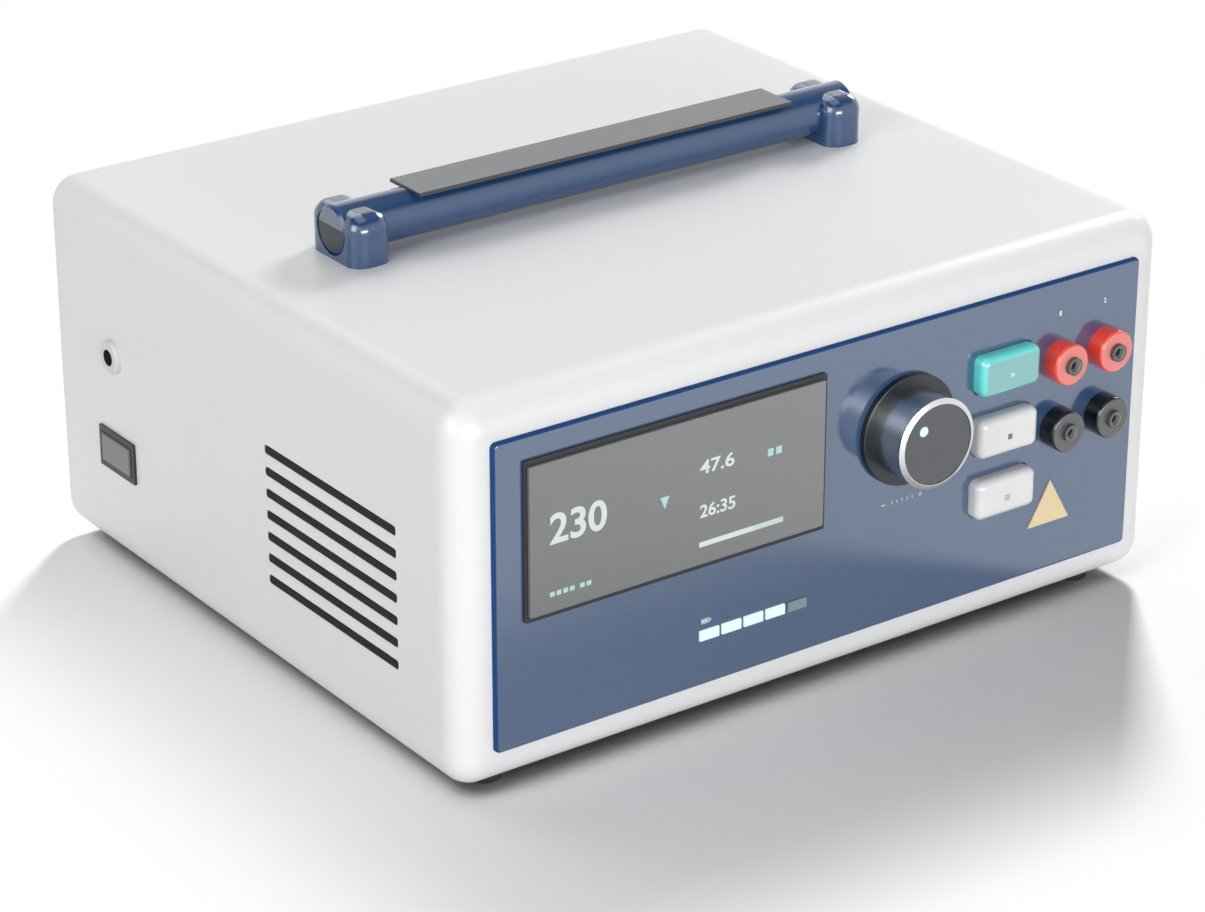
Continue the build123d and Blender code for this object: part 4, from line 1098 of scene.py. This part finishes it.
@dataclass
class Screen(Assembly):
    """The display: its bezel, glass, module and what it shows."""

    weight: float = 0.022
    figures: tuple[Figures, ...] = (
        Figures("figures_large", "230", low=(-52.0, -2.7), high=(-29.6, 8.2)),
        Figures("figures_second", "47.6", low=(7.7, 5.9), high=(21.9, 11.0)),
        Figures("figures_clock", "26:35", low=(7.9, -9.7), high=(22.5, -4.9)),
    )
    bar_done: Blocks = Blocks(lefts=(7.7,), lows=(-20.25,), width=22.6, height=1.9, corner=0.3)
    bar_left: Blocks = Blocks(lefts=(30.3,), lows=(-20.25,), width=12.4, height=1.9, corner=0.3)
    pointer: Outline = ((-8.3, 2.1), (-6.45, -2.4), (-4.6, 2.1))
    pair: Blocks = Blocks(lefts=(35.7, 39.2), lows=(5.2,), width=2.4, height=2.7, corner=0.2)
    dashes: Blocks = Blocks(
        lefts=(-52.1, -49.5, -46.9, -44.3, -40.3, -37.7), lows=(-21.0,),
        width=1.9, height=1.7, corner=0.2,
    )

    def make(self) -> None:
        """Dress the display and light what it shows."""
        self.dress(Finish.BEZEL, "display_bezel")
        self.dress(Finish.SCREEN, "display_glass")
        self.dress(Finish.MODULE, "lcd_module")
        glass = Face.of("display_glass")
        for figures in self.figures:
            self.piece(self.lettered(figures, glass, self.weight), Finish.FIGURES, "case", "led_clear")
        shapes = (
            ("bar_done", self.bar_done.outlines(), Finish.FIGURES),
            ("bar_left", self.bar_left.outlines(), Finish.FIGURES_PALE),
            ("screen_marks", [self.pointer, *self.pair.outlines(), *self.dashes.outlines()], Finish.MARKS),
        )
        for name, outlines, finish in shapes:
            self.piece(self.printed(name, outlines, glass), finish, "case", "led_clear")


@dataclass
class Panel(Assembly):
    """The blue front panel with its level bars, lens and prints."""

    lit: int = 4
    bars: int = 5
    weight: float = 0.04
    number_low: Spot = (-0.95, 16.4)
    number_high: Spot = (0.15, 18.3)
    less_and_more: Blocks = Blocks(lefts=(-9.6, 6.6), lows=(-26.7,), width=1.6, height=0.35, corner=0.1)
    upright: Blocks = Blocks(lefts=(7.22,), lows=(-27.32,), width=0.36, height=1.6, corner=0.1)
    ticks: Blocks = Blocks(
        lefts=(-5.16, -2.96, -0.76, 1.44, 3.64), lows=(-27.1,),
        width=0.32, height=1.2, corner=0.08,
    )
    cell_low: Spot = (-3.3, 4.2)
    cell_high: Spot = (0.3, 6.0)
    cell_corner: float = 0.3
    cell_line: float = 0.22
    cell_tip: Blocks = Blocks(lefts=(0.4,), lows=(4.7,), width=0.4, height=0.8, corner=0.1)
    cell_fill: Blocks = Blocks(lefts=(-2.9, -2.0, -1.1), lows=(4.6,), width=0.7, height=1.0, corner=0.08)

    def make(self) -> None:
        """Dress the panel and print its plain marks."""
        self.dress(Finish.PANEL, "front_panel")
        names = [f"level_bar_{number}" for number in range(1, self.bars + 1)]
        self.dress(Finish.GLOW, *names[:self.lit])
        self.dress(Finish.DIM, *names[self.lit:])
        self.dress(Finish.AMBER, "indicator_lens")
        for number in ("1", "2"):
            figures = Figures("output_" + number, number, self.number_low, self.number_high)
            above = Face.of("front_panel", about="socket_collar_red_" + number)
            mesh = self.lettered(figures, above, self.weight)
            self.piece(mesh, Finish.PRINT_WHITE, "case", "key_white")
        scale = self.less_and_more.outlines() + self.upright.outlines() + self.ticks.outlines()
        self._print("knob_scale", scale, "knob_body")
        shell = ring(self.cell_low, self.cell_high, self.cell_corner, self.cell_line)
        battery = shell + self.cell_tip.outlines() + self.cell_fill.outlines()
        self._print("battery_outline", battery, "level_bar_1")

    def _print(self, name: str, outlines: list[Outline], about: str) -> None:
        """Print one set of flat shapes on the panel.

        Args:
            name: The print's name.
            outlines: Corners of each shape.
            about: The node whose middle they are placed about.
        """
        mesh = self.printed(name, outlines, Face.of("front_panel", about))
        self.piece(mesh, Finish.PRINT_WHITE, "case", "key_white")


@dataclass
class Keys(Assembly):
    """The three keys with a plain sign on each."""

    play: Outline = ((-1.1, 0.4), (-1.1, -1.8), (1.0, -0.7))
    square: Blocks = Blocks(lefts=(-1.2,), lows=(-1.7,), width=2.0, height=2.0, corner=0.15)
    lines: Blocks = Blocks(lefts=(-1.5,), lows=(-1.66, -0.86, -0.06), width=2.6, height=0.32, corner=0.1)

    def make(self) -> None:
        """Dress the keys and print their signs."""
        self.dress(Finish.START, "start_button")
        self.dress(Finish.KEY, "stop_button", "mode_button")
        self.dress(Finish.SWITCH, "key_switches")
        signs = (
            ("start", [self.play], Finish.PRINT_WHITE, "start_key", "key_white"),
            ("stop", self.square.outlines(), Finish.PRINT_GREY, "stop_key", "socket_core"),
            ("mode", self.lines.outlines(), Finish.PRINT_GREY, "mode_key", "socket_core"),
        )
        for key, outlines, finish, body, slot in signs:
            mesh = self.printed(key + "_sign", outlines, Face.of(key + "_button"))
            self.piece(mesh, finish, body, slot)


@dataclass
class Knob(Assembly):
    """The setting knob and its encoder."""

    def make(self) -> None:
        """Dress the knob and what carries it."""
        self.dress(Finish.KNOB, "knob_body")
        self.dress(Finish.CAP, "knob_cap")
        self.dress(Finish.SKIRT, "knob_skirt")
        self.dress(Finish.DOT, "knob_dot")
        self.dress(Finish.STEEL, "encoder_shaft")
        self.dress(Finish.SWITCH, "encoder_body")


@dataclass
class Outputs(Assembly):
    """The four output sockets."""

    def make(self) -> None:
        """Dress the collars, cores and contacts."""
        for finish, sockets in ((Finish.RED, RED_SOCKETS), (Finish.BLACK, BLACK_SOCKETS)):
            self.dress(finish, *["socket_collar_" + socket for socket in sockets])
            self.dress(Finish.CORE, *["socket_core_" + socket for socket in sockets])
        self.dress(Finish.CONTACT, "socket_contacts")


@dataclass
class CarryingBar(Assembly):
    """The bar on the top, with its blocks, end plugs and pad."""

    def make(self) -> None:
        """Dress the bar."""
        self.dress(Finish.BAR, "handle_bar", "handle_block_left", "handle_block_right")
        self.dress(Finish.PLUG, "handle_plugs")
        self.dress(Finish.GRIP, "grip_pad")


@dataclass
class SideFittings(Assembly):
    """The louvre, switch and charging socket on the left side."""

    def make(self) -> None:
        """Dress the fittings."""
        self.dress(Finish.LOUVRE, "vent_louvre")
        self.dress(Finish.SWITCH, "rocker_housing", "jack_body", "jack_pin")
        self.dress(Finish.PADDLE, "rocker_paddle")
        self.dress(Finish.RING, "jack_ring")
        self.dress(Finish.STEEL, "jack_nut")


@dataclass
class Inside(Assembly):
    """What the rear grille lets show, and the rest of the inner pieces."""

    def make(self) -> None:
        """Dress the inner pieces."""
        self.dress(Finish.FAN, "fan_frame", "fan_rotor")
        self.dress(Finish.BOARD, "control_board", "power_board")
        self.dress(Finish.STEEL, "board_spacers", "battery_bracket")
        self.dress(Finish.SINK, "heat_sink")
        self.dress(Finish.COPPER, "transformer")
        self.dress(Finish.CAN, "capacitors")
        self.dress(Finish.WRAP, "battery_pack")


class Reach(Enum):
    """What a lamp falls on, with the height in metres of the point that it aims at."""

    OBJECT = 0.1
    FLOOR = 0.0


@dataclass(frozen=True)
class Softbox:
    """One rectangular lamp, its place and size in metres and its power in watts."""

    name: str
    reach: Reach
    place: Triple
    size: Spot
    power: float


@dataclass
class Studio:
    """The floor, lamps, world and camera.

    The shade is the rectangle of the floor that shows the object's shadow. It and its border,
    the camera's place from the middle of the case's underside and its sensor are in
    millimetres, the focal length and the image's width in pixels, and angles in degrees.
    """

    floor_size: float = 16.0
    floor_colour: float = 0.50
    floor_gain: float = 0.30
    shade: tuple[Spot, Spot] = ((-160.0, -190.0), (200.0, 190.0))
    border: float = 90.0
    world_level: float = 0.05
    horizon: Spot = (0.45, 0.75)
    ceiling: float = 0.12
    focal: float = 3976.36
    image_width: float = 1205.0
    sensor: float = 36.0
    clip: Spot = (0.05, 60.0)
    camera_place: Triple = (-770.31, -1072.30, 632.52)
    azimuth: float = -35.787
    elevation: float = 24.394
    lamps: tuple[Softbox, ...] = (
        Softbox("top", Reach.OBJECT, place=(0.0, 0.0, 1.7), size=(1.4, 1.4), power=6.5),
        Softbox("top_rear", Reach.OBJECT, place=(0.2, 1.2, 1.6), size=(1.2, 1.2), power=7.6),
        Softbox("left", Reach.OBJECT, place=(-1.8, -0.4, 0.9), size=(1.2, 1.2), power=19.3),
        Softbox("front_left", Reach.OBJECT, place=(-1.3, -1.4, 1.2), size=(1.0, 1.0), power=1.5),
        Softbox("front_low", Reach.OBJECT, place=(-0.2, -2.0, 0.3), size=(1.6, 0.5), power=26.5),
        Softbox("right", Reach.OBJECT, place=(1.6, 0.6, 1.1), size=(0.6, 0.6), power=23.0),
        Softbox("floor_top", Reach.FLOOR, place=(-0.1, 0.0, 1.7), size=(1.6, 1.6), power=7.0),
        Softbox("floor_rear", Reach.FLOOR, place=(-0.5, 1.5, 1.3), size=(1.2, 1.2), power=9.4),
        Softbox("floor_sun", Reach.FLOOR, place=(1.2, 1.15, 1.3), size=(0.3, 0.3), power=56.0),
        Softbox("floor_near_left", Reach.FLOOR, place=(-0.45, -0.25, 0.5), size=(0.3, 0.3), power=2.0),
    )

    def make(self) -> None:
        """Set the stage."""
        floor = self._floor()
        self._world()
        for lamp in self.lamps:
            self._lamp(lamp, floor)
        self._camera()
        bpy.context.scene.view_settings.view_transform = "Standard"

    def _floor(self) -> bpy.types.Object:
        """Lay the pale floor that takes the shadow.

        Returns:
            The floor's object.
        """
        half = self.floor_size / 2
        points = [(-half, -half, 0), (half, -half, 0), (half, half, 0), (-half, half, 0)]
        mesh = bpy.data.meshes.new("floor")
        mesh.from_pydata(points, [], [range(len(points))])
        floor = added("floor", mesh)
        mesh.materials.append(self._floor_finish())
        return floor

    def _floor_finish(self) -> bpy.types.Material:
        """Pale near the object for its shadow, white beyond, and plain for the light it sends back.

        Returns:
            The finished material.
        """
        sheet = Sheet("floor_pale")
        plain = sheet.result("ShaderNodeBsdfDiffuse", {"Color": (self.floor_colour,) * 3})
        more = sheet.result("ShaderNodeBsdfDiffuse", {"Color": (self.floor_gain,) * 3})
        near = sheet.result("ShaderNodeAddShader", {0: plain, 1: more})
        white = sheet.result("ShaderNodeEmission", {"Color": WHITE})
        seen = sheet.result("ShaderNodeMixShader", {0: self._beyond(sheet), 1: near, 2: white})
        shown = sheet.ray("Is Camera Ray", "Is Glossy Ray", "Is Transmission Ray")
        surface = sheet.result("ShaderNodeMixShader", {0: shown, 1: plain, 2: seen})
        sheet.node("ShaderNodeOutputMaterial", None, {"Surface": surface})
        return sheet.material

    def _beyond(self, sheet: Sheet) -> Sock:
        """How far a point of the floor lies beyond the object's own shadow.

        Args:
            sheet: The floor's node sheet.

        Returns:
            0 in the shadow's rectangle and 1 from its white border on.
        """
        x, y, _ = sheet.parts(sheet.place())
        (left, front), (right, back) = self.shade
        wide = x.past(left * MM, right * MM).larger(0.0)
        deep = y.past(front * MM, back * MM).larger(0.0)
        return wide.hypot(deep).ease(0.0, self.border * MM)

    def _world(self) -> None:
        """Show white all round the horizon and grey overhead, and add a little even light."""
        sheet = WorldSheet("studio")
        _, _, rise = sheet.parts(sheet.out(sheet.node("ShaderNodeTexCoord"), "Generated"))
        overhead = 1 - rise.ease(*self.horizon) * (1 - self.ceiling)
        mirrored = sheet.ray("Is Glossy Ray", "Is Transmission Ray") * overhead
        level = sheet.ray("Is Camera Ray").larger(mirrored).larger(self.world_level)
        back = sheet.result("ShaderNodeBackground", {"Color": WHITE, "Strength": level})
        sheet.node("ShaderNodeOutputWorld", None, {"Surface": back})

    def _lamp(self, lamp: Softbox, floor: bpy.types.Object) -> None:
        """Hang one softbox, which falls on the floor alone or on all but the floor.

        Args:
            lamp: The softbox.
            floor: The floor's object.
        """
        data = bpy.data.lights.new(lamp.name, "AREA")
        data.shape = "RECTANGLE"
        data.size, data.size_y = lamp.size
        data.energy = lamp.power
        made = added(lamp.name, data)
        made.location = lamp.place
        aim = Vector((0.0, 0.0, lamp.reach.value)) - Vector(lamp.place)
        made.rotation_euler = aim.to_track_quat("-Z", "Y").to_euler()
        reach = bpy.data.collections.new(lamp.name + "_reach")
        reach.objects.link(floor)
        if lamp.reach is Reach.OBJECT:
            reach.collection_objects[0].light_linking.link_state = "EXCLUDE"
        made.light_linking.receiver_collection = reach

    def _camera(self) -> None:
        """Stand the camera where the view was taken from."""
        data = bpy.data.cameras.new("camera")
        data.sensor_fit = "HORIZONTAL"
        data.sensor_width = self.sensor
        data.lens = self.focal / self.image_width * self.sensor
        data.clip_start, data.clip_end = self.clip
        camera = added("camera", data)
        (left, front, base), (right, back, _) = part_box("case_shell")
        x, y, z = self.camera_place
        camera.location = ((left + right) / 2 + x * MM, (front + back) / 2 + y * MM, base + z * MM)
        camera.rotation_euler = (math.radians(90 - self.elevation), 0.0, math.radians(self.azimuth))
        bpy.context.scene.camera = camera


def main() -> None:
    """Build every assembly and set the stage."""
    logging.basicConfig(level=logging.INFO, format="%(name)s: %(message)s")
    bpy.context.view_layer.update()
    assemblies = (Case, Screen, Panel, Keys, Knob, Outputs, CarryingBar, SideFittings, Inside)
    for assembly in assemblies:
        assembly().make()
        log.info("%s is dressed", assembly.__name__)
    Studio().make()


if __name__ == "__main__":
    main()
